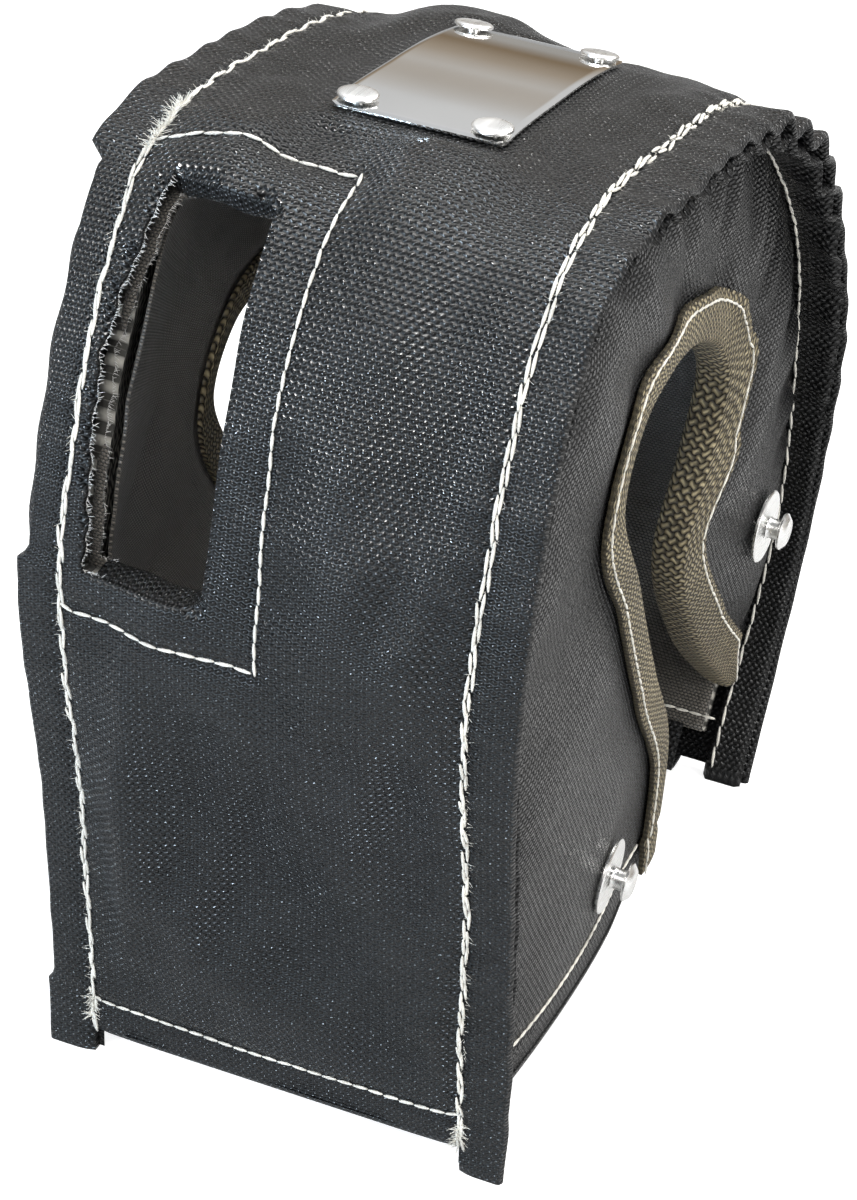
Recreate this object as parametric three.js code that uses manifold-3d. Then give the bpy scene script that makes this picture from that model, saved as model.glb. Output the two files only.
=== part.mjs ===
// Turbo heat blanket: a padded fabric cover that stands astride a turbine housing.
// Millimetres, +Z up. X runs across the band, -Y is the windowed front, and the feet stand on z = 0.
import * as THREE from 'three';
import Module from 'manifold-3d';

const wasm = await Module();
wasm.setup();

// Overall form
const SEAM_SPACING = 92;
const FLANGE = 10.5;
const PANEL_FLANGE = 9.5;
const HEM_LIFT = 7;
const HEM_DEPTH = 12;

// Cloth, filling and the play between neighbouring layers
const CLOTH = 1.2;
const BATT = 6;
const LINING = 0.8;
const PLAY = 0.4;
const HEM_PLAY = 1;
const FLANGE_PLAY = 0.9;
const BAND_PUFF = 3.5;
const PANEL_PUFF = 6;
const GATHER = 1.1;
const STATION_STEP = 10;

// The seam seen from the side, [y, z] from the front foot over the crown to the rear foot
const SEAM_OUTLINE = [
  [-95, 0],
  [-108, 76],
  [-124, 155],
  [-96, 227],
  [-31, 231],
  [39, 212],
  [103, 149.5],
  [123, 70.5],
  [90.5, 0],
];

// Cut edge of a side panel's opening, [y, z] at equal steps of seam length, front foot to rear tail
const OPENING_OUTLINE = [
  [35, 8],
  [25, 48],
  [-5, 86],
  [-33, 125],
  [-53, 156],
  [-44, 171],
  [-24, 175],
  [-4, 172.5],
  [17, 165],
  [34, 154],
  [44, 140],
  [37, 120],
  [26, 101],
  [50, 66],
  [93, 27],
];
// How far the opening's edge turns outwards at the same places
const OPENING_FLARE = [0, 2, 4, 5, 5, 4.5, 3.5, 2, 1, 0, 0, 0, 0, 0, 0];
const TAIL_LIFT = 24;
const TAIL_FLAT = 22;

// Edge of the opening: the batt thins where the woven tape wraps it
const EDGE_BATT = 2.3;
const EDGE_ZONE = 14;
const TAPE_FACE = 10.5;
const TAPE = 1.2;
const TAPE_PLAY = 0.7;
const EDGE_SETBACK = 3;

// Window in the front, measured across from the left seam and along the seam from the front foot
const WINDOW_INSET = 3;
const WINDOW_WIDTH = 30.5;
const WINDOW_SILL = 152;
const WINDOW_HEIGHT = 85;
const WINDOW_STITCH = 11.5;

// Thread
const THREAD = 0.5;
const THREAD_SIDES = 3;
const STITCH = 6;
const STITCH_SWAY = 0.25;

// Name plate, lengths along the band
const PLATE_START = 267;
const PLATE_LENGTH = 76;
const PLATE_WIDTH = 38.5;
const PLATE_OFFSET = 3;
const PLATE = 0.8;
const PLATE_RIVET_INSET = 4.4;
const PLATE_HEAD = 4.4;
const PLATE_SHANK = 1.6;

// Lacing anchors, [length along the seam, distance in from the seam] for the front and the rear one
const ANCHOR_PLACES = { front: [33.5, 80], rear: [537, 38] };
const ANCHOR_WASHER = 9.5;
const ANCHOR_WASHER_THICKNESS = 1;
const ANCHOR_POST = 2.6;
const ANCHOR_POST_LENGTH = 3.4;
const ANCHOR_HEAD = 4.8;
const ANCHOR_HEAD_THICKNESS = 1.8;
const ANCHOR_SHANK = 2;
const CLINCH_WASHER = 6.5;
const ANCHOR_SEAT = 0.7;
const CLINCH_SEAT = 2.2;

const HALF = SEAM_SPACING / 2;
const BAND_STACK = CLOTH + PLAY + BATT + PLAY + LINING;
const FLANGE_STACK = 2 * CLOTH + FLANGE_PLAY;
const ROUND_SIDES = 10;

// Materials
const blackCloth = { color: 0x1b1d1f, roughness: 0.5, metalness: 0 };
const greyLining = { color: 0x35322e, roughness: 0.8, metalness: 0 };
const battFibre = { color: 0xb9b4a8, roughness: 1, metalness: 0 };
const oliveTape = { color: 0x6d6349, roughness: 0.9, metalness: 0 };
const creamThread = { color: 0xe6e0d2, roughness: 0.85, metalness: 0 };
const mirrorSteel = { color: 0xd7d8d8, roughness: 0.12, metalness: 1 };
const satinSteel = { color: 0xb9bbbb, roughness: 0.35, metalness: 1 };

const group = new THREE.Group();

function add(name, geometry, material) {
  geometry.computeVertexNormals();
  const mesh = new THREE.Mesh(geometry, new THREE.MeshStandardMaterial(material));
  mesh.name = name;
  group.add(mesh);
}

// Curves
function outlineCurve(outline, type) {
  return new THREE.CatmullRomCurve3(outline.map(([y, z]) => new THREE.Vector3(0, y, z)), false, type);
}

const seam = outlineCurve(SEAM_OUTLINE, 'centripetal');
seam.arcLengthDivisions = 800;
const SEAM_LENGTH = seam.getLength();
const opening = outlineCurve(OPENING_OUTLINE, 'centripetal');

function seamFrame(length) {
  const share = THREE.MathUtils.clamp(length / SEAM_LENGTH, 0, 1);
  const point = seam.getPointAt(share);
  const along = seam.getTangentAt(share);
  const out = new THREE.Vector3(0, -along.z, along.y);
  return { point, along, out };
}

// A point beside the seam curve: x across, rise outwards; a given height slides it along the seam to there
function beside(x, length, rise, height = null) {
  const { point, along, out } = seamFrame(length);
  const spot = point.addScaledVector(out, rise);
  if (height !== null) spot.addScaledVector(along, (height - spot.z) / along.z);
  spot.x = x;
  return spot;
}

// Length along the seam at which one leg passes a height
function lengthAtHeight(height, rear) {
  let low = 0;
  let high = SEAM_LENGTH / 3;
  for (let turn = 0; turn < 40; turn += 1) {
    const middle = (low + high) / 2;
    const z = seamFrame(rear ? SEAM_LENGTH - middle : middle).point.z;
    if (z < height) low = middle;
    else high = middle;
  }
  return rear ? SEAM_LENGTH - low : low;
}

const FRONT_HEM = lengthAtHeight(HEM_LIFT, false);
const REAR_HEM = lengthAtHeight(HEM_LIFT, true);
const TAIL = lengthAtHeight(TAIL_LIFT, true);
const WINDOW_HEAD = WINDOW_SILL + WINDOW_HEIGHT;
const WINDOW_LEFT = -HALF + WINDOW_INSET;
const WINDOW_RIGHT = WINDOW_LEFT + WINDOW_WIDTH;

// Equal steps no longer than step between each pair of stops
function stations(stops, step) {
  const list = [stops[0]];
  for (let k = 1; k < stops.length; k += 1) {
    const span = stops[k] - stops[k - 1];
    const count = Math.max(1, Math.ceil(Math.abs(span) / step));
    for (let n = 1; n <= count; n += 1) list.push(stops[k - 1] + span * n / count);
  }
  return list;
}

const CLOTH_STATIONS = stations(
  [0, FRONT_HEM, WINDOW_SILL, WINDOW_HEAD, TAIL, REAR_HEM, SEAM_LENGTH], STATION_STEP);

// Solids
function geometryOf(positions, index) {
  const geometry = new THREE.BufferGeometry();
  geometry.setAttribute('position', new THREE.BufferAttribute(new Float32Array(positions), 3));
  geometry.setIndex(index);
  return geometry;
}

function signedVolume(points, faces) {
  let total = 0;
  for (const [a, b, c] of faces) total += points[a].dot(points[b].clone().cross(points[c]));
  return total;
}

// Closes points and faces into a geometry that holds only the points in use, faces pointing out
function closedBody(points, faces) {
  const flip = signedVolume(points, faces) < 0;
  const place = new Map();
  const positions = [];
  const index = [];
  for (const face of faces) {
    for (const corner of flip ? [face[0], face[2], face[1]] : face) {
      if (!place.has(corner)) {
        place.set(corner, positions.length / 3);
        positions.push(...points[corner].toArray());
      }
      index.push(place.get(corner));
    }
  }
  return geometryOf(positions, index);
}

// Joins an outer and an inner grid of points into one sheet; skip(i, j) leaves that cell out
function sheet(outer, inner, skip = () => false) {
  const rows = outer.length;
  const columns = outer[0].length;
  const points = [...outer.flat(), ...inner.flat()];
  const top = (i, j) => i * columns + j;
  const under = (i, j) => rows * columns + top(i, j);
  const present = (i, j) => i >= 0 && j >= 0 && i < rows - 1 && j < columns - 1 && !skip(i, j);
  const faces = [];
  const quad = (a, b, c, d) => faces.push([a, b, c], [a, c, d]);
  for (let i = 0; i < rows - 1; i += 1) {
    for (let j = 0; j < columns - 1; j += 1) {
      if (!present(i, j)) continue;
      quad(top(i, j), top(i + 1, j), top(i + 1, j + 1), top(i, j + 1));
      quad(under(i, j), under(i, j + 1), under(i + 1, j + 1), under(i + 1, j));
      if (!present(i - 1, j)) quad(top(i, j), top(i, j + 1), under(i, j + 1), under(i, j));
      if (!present(i + 1, j)) quad(top(i + 1, j + 1), top(i + 1, j), under(i + 1, j), under(i + 1, j + 1));
      if (!present(i, j - 1)) quad(top(i + 1, j), top(i, j), under(i, j), under(i + 1, j));
      if (!present(i, j + 1)) quad(top(i, j + 1), top(i + 1, j + 1), under(i + 1, j + 1), under(i, j + 1));
    }
  }
  return closedBody(points, faces);
}

// Sweeps closed rings of points into one body with flat ends
function loft(rings) {
  const sides = rings[0].length;
  const points = rings.flat();
  const faces = [];
  for (let i = 0; i < rings.length - 1; i += 1) {
    for (let j = 0; j < sides; j += 1) {
      const a = i * sides + j;
      const b = i * sides + (j + 1) % sides;
      faces.push([a, b, b + sides], [a, b + sides, a + sides]);
    }
  }
  const cap = THREE.ShapeUtils.triangulateShape(capOutline(rings[0]), []);
  const last = (rings.length - 1) * sides;
  for (const [a, b, c] of cap) faces.push([a, c, b], [last + a, last + b, last + c]);
  return closedBody(points, faces);
}

// A ring's own flat outline, for filling its end
function capOutline(ring) {
  const origin = ring[0];
  const first = ring[1].clone().sub(origin).normalize();
  const normal = new THREE.Vector3();
  for (let k = 1; k < ring.length - 1; k += 1) {
    normal.add(ring[k].clone().sub(origin).cross(ring[k + 1].clone().sub(origin)));
  }
  const second = normal.normalize().cross(first);
  return ring.map((spot) => {
    const offset = spot.clone().sub(origin);
    return new THREE.Vector2(offset.dot(first), offset.dot(second));
  });
}

function toSolid(geometry) {
  const vertProperties = new Float32Array(geometry.getAttribute('position').array);
  const triVerts = new Uint32Array(geometry.getIndex().array);
  return new wasm.Manifold(new wasm.Mesh({ numProp: 3, vertProperties, triVerts }));
}

function toGeometry(solid) {
  const mesh = solid.getMesh();
  return geometryOf(mesh.vertProperties, Array.from(mesh.triVerts));
}

function joined(body, extras, cuts = []) {
  let solid = toSolid(body);
  for (const extra of extras) solid = solid.add(toSolid(extra));
  for (const cut of cuts) solid = solid.subtract(toSolid(cut));
  return toGeometry(solid);
}

// A turned piece whose profile is [radius, height], standing on a spot along an axis
function turned(profile, spot, axis, sides = ROUND_SIDES) {
  const rings = profile.filter(([radius]) => radius > 0);
  const turn = new THREE.Quaternion().setFromUnitVectors(new THREE.Vector3(0, 0, 1), axis);
  const points = [];
  for (const [radius, height] of rings) {
    for (let k = 0; k < sides; k += 1) {
      const angle = 2 * Math.PI * k / sides;
      const point = new THREE.Vector3(radius * Math.cos(angle), radius * Math.sin(angle), height);
      points.push(point.applyQuaternion(turn).add(spot));
    }
  }
  const closedLoop = profile.length === rings.length;
  const faces = [];
  const bands = closedLoop ? rings.length : rings.length - 1;
  for (let i = 0; i < bands; i += 1) {
    const next = (i + 1) % rings.length;
    for (let k = 0; k < sides; k += 1) {
      const side = (k + 1) % sides;
      faces.push([i * sides + k, i * sides + side, next * sides + side]);
      faces.push([i * sides + k, next * sides + side, next * sides + k]);
    }
  }
  if (!closedLoop) {
    const last = (rings.length - 1) * sides;
    for (let k = 1; k < sides - 1; k += 1) {
      faces.push([0, k + 1, k], [last, last + k, last + k + 1]);
    }
  }
  return closedBody(points, faces);
}

// Band: outer cloth, batt and lining follow the seam curve
function bandRise(x, length) {
  const across = Math.min(1, Math.abs(x) / HALF);
  const fromHem = Math.min(length - FRONT_HEM, REAR_HEM - length);
  return BAND_PUFF * (1 - across ** 4) * THREE.MathUtils.smoothstep(fromHem, 0, 40);
}

function bandPoint(x, length, depth, height = null) {
  return beside(x, length, bandRise(x, length) - depth, height);
}

// The height at which an end station is cut level, or null between the ends
function levelAt(list, i, height) {
  return i === 0 || i === list.length - 1 ? height : null;
}

function gather(i, length) {
  const crown = THREE.MathUtils.smoothstep(length, WINDOW_HEAD - 40, WINDOW_HEAD + 20);
  const fade = 1 - THREE.MathUtils.smoothstep(length, REAR_HEM - 130, REAR_HEM - 60);
  return (i % 2 === 0 ? 1 : -1) * GATHER * (0.25 + 0.75 * crown * fade);
}

function makeBandOuter() {
  const lengths = CLOTH_STATIONS;
  const fold = HALF - WINDOW_INSET;
  const edge = HALF + FLANGE;
  const inner = (2 * fold - WINDOW_WIDTH) / 3;
  const across = [-edge, -HALF, -fold, (WINDOW_LEFT + WINDOW_RIGHT) / 2, WINDOW_RIGHT,
    WINDOW_RIGHT + inner, WINDOW_RIGHT + 2 * inner, fold, HALF, edge];
  const heightAt = (i) => {
    if (i === 1 || i === lengths.length - 2) return HEM_LIFT;
    return levelAt(lengths, i, 0);
  };
  const face = (depthAt) => lengths.map((length, i) => across.map((x, j) => {
    const tip = j === 0 || j === across.length - 1;
    const wave = tip && heightAt(i) === null ? 0.6 * gather(i, length) + 0.5 : 0;
    return bandPoint(x, length, depthAt(x) + wave, heightAt(i));
  }));
  const outer = face(() => 0);
  const inside = face((x) => (Math.abs(x) >= HALF ? 2 * CLOTH : CLOTH));
  const skip = (i, j) => {
    const middle = j > 0 && j < across.length - 2;
    if ((i === 0 || i === lengths.length - 2) && middle) return true;
    const inWindow = lengths[i] >= WINDOW_SILL - 1e-6 && lengths[i + 1] <= WINDOW_HEAD + 1e-6;
    return inWindow && across[j] >= WINDOW_LEFT - 1e-6 && across[j + 1] <= WINDOW_RIGHT + 1e-6;
  };
  const body = sheet(outer, inside, skip);
  const folds = [bandHemFold(false), bandHemFold(true), ...windowFolds()];
  return joined(body, folds, rivetHoles());
}

// The hem's cloth turns in under batt and lining and comes up inside them
function bandHemFold(rear) {
  const hem = rear ? REAR_HEM : FRONT_HEM;
  const top = lengthAtHeight(HEM_LIFT + HEM_DEPTH, rear);
  const reach = HALF - BAND_STACK - 2 * PLAY;
  const inner = BAND_STACK + HEM_PLAY;
  const floor = HEM_LIFT + PLAY / 2;
  const row = (length, depth, height) => [-reach, reach].map((x) => beside(x, length, -depth, height));
  const low = [
    row(top, inner + CLOTH, HEM_LIFT + HEM_DEPTH),
    row(hem, inner + CLOTH, floor),
    row(hem, CLOTH / 2, floor),
  ];
  const high = [
    row(top, inner, HEM_LIFT + HEM_DEPTH),
    row(hem, inner, floor + CLOTH),
    row(hem, CLOTH / 2, floor + CLOTH),
  ];
  return sheet(low, high);
}

// The window's cloth turns inwards along its head, sill and right side
function windowFolds() {
  const back = PLAY / 2;
  const lengths = stations([WINDOW_SILL - back - CLOTH, WINDOW_HEAD + back + CLOTH], STATION_STEP);
  const lip = (spot) => [CLOTH / 2, BAND_STACK].map(spot);
  const side = [WINDOW_RIGHT + back, WINDOW_RIGHT + back + CLOTH].map((x) => (
    lengths.map((length) => lip((depth) => bandPoint(x, length, depth)))
  ));
  const across = stations([WINDOW_LEFT + back, WINDOW_RIGHT + back + CLOTH / 2], STATION_STEP);
  const level = (start) => [start, start + CLOTH].map((length) => (
    across.map((x) => lip((depth) => bandPoint(x, length, depth)))
  ));
  const head = level(WINDOW_HEAD + back);
  const sill = level(WINDOW_SILL - back - CLOTH);
  return [sheet(side[0], side[1]), sheet(head[0], head[1]), sheet(sill[0], sill[1])];
}

// A layer of the band between two depths, short of the hem folds and the window folds
function makeBandLayer(top, bottom) {
  const clear = PLAY + CLOTH;
  const floor = HEM_LIFT + PLAY / 2 + clear;
  const sill = WINDOW_SILL - clear - PLAY;
  const head = WINDOW_HEAD + clear + PLAY;
  const lengths = stations([FRONT_HEM, sill, head, REAR_HEM], 2 * STATION_STEP);
  const edge = HALF - WINDOW_INSET - PLAY;
  const right = WINDOW_RIGHT + clear + PLAY;
  const across = [-edge, right, (right + edge) / 2, edge];
  const face = (depth) => lengths.map((length, i) => (
    across.map((x) => bandPoint(x, length, depth, levelAt(lengths, i, floor)))
  ));
  const skip = (i, j) => j === 0 && lengths[i] >= sill - 1e-6 && lengths[i + 1] <= head + 1e-6;
  return joined(sheet(face(top), face(bottom), skip), [], rivetHoles());
}

// Side panels
function openingShare(length) {
  return THREE.MathUtils.clamp((length - FRONT_HEM) / (TAIL - FRONT_HEM), 0, 1);
}

// A station of the panel: its root behind the seam, its edge at the opening, and the zone the tape covers
function panelStation(length) {
  const share = openingShare(length);
  const root = beside(0, length, -FLANGE_STACK - 2 * CLOTH);
  const edge = opening.getPoint(share);
  const spoke = edge.clone().sub(root);
  const reach = spoke.length();
  const slant = Math.max(0.5, spoke.clone().cross(opening.getTangent(share)).length() / reach);
  const zone = Math.min(EDGE_ZONE / slant, 0.6 * reach) / reach;
  return { share, root, edge, spoke, reach, slant, zone };
}

function flareAt(share) {
  const place = share * (OPENING_FLARE.length - 1);
  const k = Math.min(Math.floor(place), OPENING_FLARE.length - 2);
  return THREE.MathUtils.lerp(OPENING_FLARE[k], OPENING_FLARE[k + 1], place - k);
}

// How far the panel's outer face stands outside the seam plane at a share s of the way in;
// under the tape it runs straight to the edge, and on past it
function panelBulge(station, s) {
  const start = 1 - station.zone;
  if (s <= start) return roundBulge(station, s);
  const over = (s - start) / station.zone;
  return THREE.MathUtils.lerp(roundBulge(station, start), roundBulge(station, 1), over);
}

function roundBulge(station, s) {
  const full = THREE.MathUtils.smoothstep(station.reach, 25, 75);
  const rise = THREE.MathUtils.smoothstep(station.share, -0.02, 0.14);
  const round = Math.sin(Math.PI * Math.min(1, s / (1 - station.zone / 2)));
  const flare = flareAt(station.share) * THREE.MathUtils.smoothstep(s, 0.45, 1);
  return PANEL_PUFF * full * (0.35 + 0.65 * rise) * Math.max(0, round) + flare;
}

function battAt(station, s) {
  return THREE.MathUtils.lerp(BATT, EDGE_BATT, Math.max(0, (s - 1 + station.zone) / station.zone));
}

// A point of the panel: share s inwards from the root, depth in from the outer face, height to cut it level
function panelPoint(side, station, s, depth, height = null) {
  const spot = station.root.clone().addScaledVector(station.spoke, s);
  if (height !== null) spot.z = height;
  spot.x = side * (HALF + panelBulge(station, s) - depth);
  return spot;
}

function panelShares(station) {
  return [0.28 * (1 - station.zone), 0.62 * (1 - station.zone), 1 - station.zone, 1];
}

function makePanelOuter(side) {
  const lengths = CLOTH_STATIONS;
  const lastPanel = lengths.indexOf(TAIL);
  const rows = lengths.map((length, i) => {
    const station = panelStation(length);
    const level = levelAt(lengths, i, 0);
    const wave = level === null ? gather(i, length) + GATHER : 0;
    const turn = (x, depth) => beside(side * x, length, -depth, level);
    const tip = HALF + PANEL_FLANGE;
    const outer = [turn(tip, FLANGE_STACK + 2 * CLOTH + wave), turn(HALF, FLANGE_STACK + 2 * CLOTH)];
    const inside = [turn(tip, FLANGE_STACK + wave), turn(HALF - CLOTH, FLANGE_STACK)];
    const cut = i === 1 ? HEM_LIFT : null;
    for (const s of panelShares(station)) {
      outer.push(panelPoint(side, station, s, 0, cut));
      inside.push(panelPoint(side, station, s, CLOTH, cut));
    }
    return { outer, inside };
  });
  const skip = (i, j) => j > 0 && (i === 0 || i >= lastPanel);
  const body = sheet(rows.map((row) => row.outer), rows.map((row) => row.inside), skip);
  return joined(body, [panelHemFold(side)], anchorHoles(side));
}

// The panel's bottom hem turns in under its batt and lining
function panelHemFold(side) {
  const station = panelStation(FRONT_HEM);
  const upper = panelStation(lengthAtHeight(HEM_LIFT + HEM_DEPTH, false));
  const shares = [0.1, 0.28, 0.62, 0.96].map((s) => s * (1 - station.zone));
  const floor = HEM_LIFT + PLAY / 2;
  const inner = BAND_STACK + HEM_PLAY;
  const row = (place, depth, height) => shares.map((s) => panelPoint(side, place, s, depth, height));
  const low = [
    row(upper, inner + CLOTH, HEM_LIFT + HEM_DEPTH),
    row(station, inner + CLOTH, floor),
    row(station, CLOTH / 2, floor),
  ];
  const high = [
    row(upper, inner, HEM_LIFT + HEM_DEPTH),
    row(station, inner, floor + CLOTH),
    row(station, CLOTH / 2, floor + CLOTH),
  ];
  return sheet(low, high);
}

// Batt or lining of a panel; level says which faces bound it
function makePanelLayer(side, layer) {
  const floor = HEM_LIFT + PLAY / 2 + CLOTH + PLAY;
  const start = lengthAtHeight(floor, false);
  const lengths = stations([start, lengthAtHeight(TAIL_LIFT + TAIL_FLAT, true)], 2 * STATION_STEP);
  const bounds = (station, s) => {
    const batt = battAt(station, s);
    const top = CLOTH + PLAY;
    return layer === 'batt' ? [top, top + batt] : [top + batt + PLAY, top + batt + PLAY + LINING];
  };
  const face = (k) => lengths.map((length, i) => {
    const station = panelStation(length);
    const behind = (BAND_STACK + 2 * PLAY - FLANGE_STACK - 2 * CLOTH) / station.reach;
    const last = 1 - EDGE_SETBACK / station.slant / station.reach;
    const shares = [behind, ...panelShares(station).slice(0, -1), last];
    const cut = i === 0 ? floor : null;
    return shares.map((s) => panelPoint(side, station, s, bounds(station, s)[k], cut));
  });
  return joined(sheet(face(0), face(1)), [], anchorHoles(side));
}

// Woven tape folded over the opening's edge
function tapeStations() {
  const lengths = CLOTH_STATIONS.filter((length) => length >= FRONT_HEM && length <= TAIL);
  return lengths.map((length) => panelStation(length));
}

// A point of the tape: inside is its distance in from the cut edge, depth as on the panel
function tapePoint(side, station, inside, depth) {
  const stride = inside / station.slant / station.reach;
  const spot = station.edge.clone().addScaledVector(station.spoke, -stride);
  const s = 1 - stride;
  const thick = CLOTH + PLAY + battAt(station, s) + PLAY + LINING;
  spot.x = side * (HALF + panelBulge(station, s) - (depth > 0 ? thick : 0) - depth);
  return spot;
}

function makeBinding(side) {
  const rings = tapeStations().map((station) => {
    const face = Math.min(TAPE_FACE, 0.45 * station.reach * station.slant);
    const at = (inside, depth) => tapePoint(side, station, inside, depth);
    const near = TAPE_PLAY;
    const far = near + TAPE;
    return [
      at(face, -near), at(face, -far), at(-far, -far), at(-far, far),
      at(face, far), at(face, near), at(-near, near), at(-near, -near),
    ];
  });
  return loft(rings);
}

// Thread
function makeThread(route) {
  const shape = new THREE.Shape();
  for (let k = 0; k < THREAD_SIDES; k += 1) {
    const angle = 2 * Math.PI * k / THREAD_SIDES;
    shape[k === 0 ? 'moveTo' : 'lineTo'](THREAD * Math.cos(angle), THREAD * Math.sin(angle));
  }
  const path = new THREE.CatmullRomCurve3(route);
  return new THREE.ExtrudeGeometry(shape, { steps: route.length - 1, extrudePath: path });
}

const swayed = (k) => (k % 2 === 0 ? STITCH_SWAY : -STITCH_SWAY);
const THREAD_RISE = THREAD + PLAY;

function makeSeamThread(side) {
  const lengths = stations([FRONT_HEM + 2, REAR_HEM - 2], STITCH);
  return makeThread(lengths.map((length, k) => (
    bandPoint(side * (HALF + swayed(k)), length, -THREAD_RISE)
  )));
}

function makeBandHemThread(rear) {
  const length = lengthAtHeight(HEM_LIFT + HEM_DEPTH - 1, rear);
  const reach = HALF - 2 * THREAD - PLAY - STITCH_SWAY;
  return makeThread(stations([-reach, reach], STITCH).map((x, k) => (
    bandPoint(x, length + swayed(k), -THREAD_RISE - PLAY)
  )));
}

function makeWindowThread() {
  const start = -HALF + 2 * THREAD + PLAY + STITCH_SWAY;
  const right = WINDOW_RIGHT + WINDOW_STITCH;
  const head = WINDOW_HEAD + WINDOW_STITCH;
  const sill = WINDOW_SILL - WINDOW_STITCH;
  const route = [];
  const mark = (x, length) => route.push(bandPoint(x, length, -THREAD_RISE - PLAY));
  stations([start, right], STITCH).forEach((x, k) => mark(x, head + swayed(k)));
  stations([head, sill], STITCH).slice(1).forEach((length, k) => mark(right + swayed(k), length));
  stations([right, start], STITCH).slice(1).forEach((x, k) => mark(x, sill + swayed(k)));
  return makeThread(route);
}

function makePanelHemThread(side) {
  const station = panelStation(lengthAtHeight(HEM_LIFT + HEM_DEPTH - 1, false));
  const first = 3 / station.reach;
  const last = 1 - (TAPE_FACE + 2 * TAPE) / station.reach;
  return makeThread(stations([first, last], STITCH / station.reach).map((s, k) => {
    const spot = panelPoint(side, station, s, -THREAD_RISE);
    spot.z += swayed(k);
    return spot;
  }));
}

function makeBindingThread(side) {
  return makeThread(tapeStations().map((station) => {
    const face = Math.min(TAPE_FACE, 0.45 * station.reach * station.slant);
    return tapePoint(side, station, 0.62 * face, -TAPE_PLAY - TAPE - THREAD_RISE);
  }));
}

// Name plate, bent to the crown, with a rivet through the band at each corner
function plateSpots() {
  const across = PLATE_WIDTH / 2 - PLATE_RIVET_INSET;
  const ends = { front: PLATE_START + PLATE_RIVET_INSET, rear: PLATE_START + PLATE_LENGTH - PLATE_RIVET_INSET };
  const list = [];
  for (const [end, length] of Object.entries(ends)) {
    for (const [hand, x] of [['left', PLATE_OFFSET - across], ['right', PLATE_OFFSET + across]]) {
      list.push({ name: `plate_rivet_${end}_${hand}`, spot: bandPoint(x, length, 0), axis: seamFrame(length).out });
    }
  }
  return list;
}

function rivetHoles() {
  const deep = BAND_STACK + 6 * PLAY;
  const radius = PLATE_SHANK + PLAY;
  const profile = [[0, -deep], [radius, -deep], [radius, deep], [0, deep]];
  return plateSpots().map(({ spot, axis }) => turned(profile, spot, axis, 8));
}

function makePlate() {
  const lengths = stations([PLATE_START, PLATE_START + PLATE_LENGTH], STATION_STEP);
  const start = PLATE_OFFSET - PLATE_WIDTH / 2;
  const across = [start, start + PLATE_WIDTH];
  const face = (lift) => lengths.map((length) => across.map((x) => (
    beside(x, length, bandRise(PLATE_OFFSET, length) + lift)
  )));
  return joined(sheet(face(PLAY + PLATE), face(PLAY)), [], rivetHoles());
}

function makePlateRivet({ spot, axis }) {
  const seat = 2 * PLAY + PLATE + PLAY / 2;
  const top = seat + 1.1;
  const tail = -BAND_STACK - 3 * PLAY;
  const spread = PLATE_SHANK + 1.2;
  return turned([
    [0, tail - 1], [spread, tail - 1], [spread, tail], [PLATE_SHANK, tail], [PLATE_SHANK, seat],
    [PLATE_HEAD, seat], [PLATE_HEAD, top - 0.4], [PLATE_HEAD - 0.8, top], [0, top],
  ], spot, axis);
}

// Lacing anchors: base washer outside, clinch washer inside, and a capstan post through both
function anchorFrame(side, end) {
  const [length, inwards] = ANCHOR_PLACES[end];
  const station = panelStation(length);
  const s = inwards / station.reach;
  const spot = panelPoint(side, station, s, 0);
  const next = panelPoint(side, panelStation(length + 2), s, 0);
  const deeper = panelPoint(side, station, s + 2 / station.reach, 0);
  const axis = next.sub(spot).cross(deeper.sub(spot)).normalize();
  if (axis.x * side < 0) axis.negate();
  return { spot, axis };
}

function anchorHoles(side) {
  const deep = BAND_STACK + 6 * PLAY;
  const radius = ANCHOR_SHANK + PLAY;
  const profile = [[0, -deep], [radius, -deep], [radius, deep], [0, deep]];
  return Object.keys(ANCHOR_PLACES).map((end) => {
    const { spot, axis } = anchorFrame(side, end);
    return turned(profile, spot, axis, 8);
  });
}

function washer(radius, hole, low, thickness, frame) {
  const high = low + thickness;
  return turned([[hole, low], [radius, low], [radius, high], [hole, high]], frame.spot, frame.axis);
}

function makeAnchorPost(frame) {
  const seat = ANCHOR_SEAT + ANCHOR_WASHER_THICKNESS + PLAY;
  const head = seat + ANCHOR_POST_LENGTH;
  const tail = -BAND_STACK - CLINCH_SEAT - ANCHOR_WASHER_THICKNESS - PLAY;
  return turned([
    [0, tail - 1], [ANCHOR_SHANK + 1, tail - 1], [ANCHOR_SHANK + 1, tail], [ANCHOR_SHANK, tail],
    [ANCHOR_SHANK, seat], [ANCHOR_POST, seat], [ANCHOR_POST, head], [ANCHOR_HEAD, head],
    [ANCHOR_HEAD, head + 0.6], [ANCHOR_HEAD - 1.4, head + ANCHOR_HEAD_THICKNESS],
    [0, head + ANCHOR_HEAD_THICKNESS],
  ], frame.spot, frame.axis);
}

function addAnchor(hand, side, end) {
  const frame = anchorFrame(side, end);
  const hole = ANCHOR_SHANK + PLAY;
  const under = -BAND_STACK - CLINCH_SEAT - ANCHOR_WASHER_THICKNESS;
  add(`${hand}_${end}_anchor_washer`,
    washer(ANCHOR_WASHER, hole, ANCHOR_SEAT, ANCHOR_WASHER_THICKNESS, frame), satinSteel);
  add(`${hand}_${end}_clinch_washer`,
    washer(CLINCH_WASHER, hole, under, ANCHOR_WASHER_THICKNESS, frame), satinSteel);
  add(`${hand}_${end}_anchor_post`, makeAnchorPost(frame), satinSteel);
}

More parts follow.
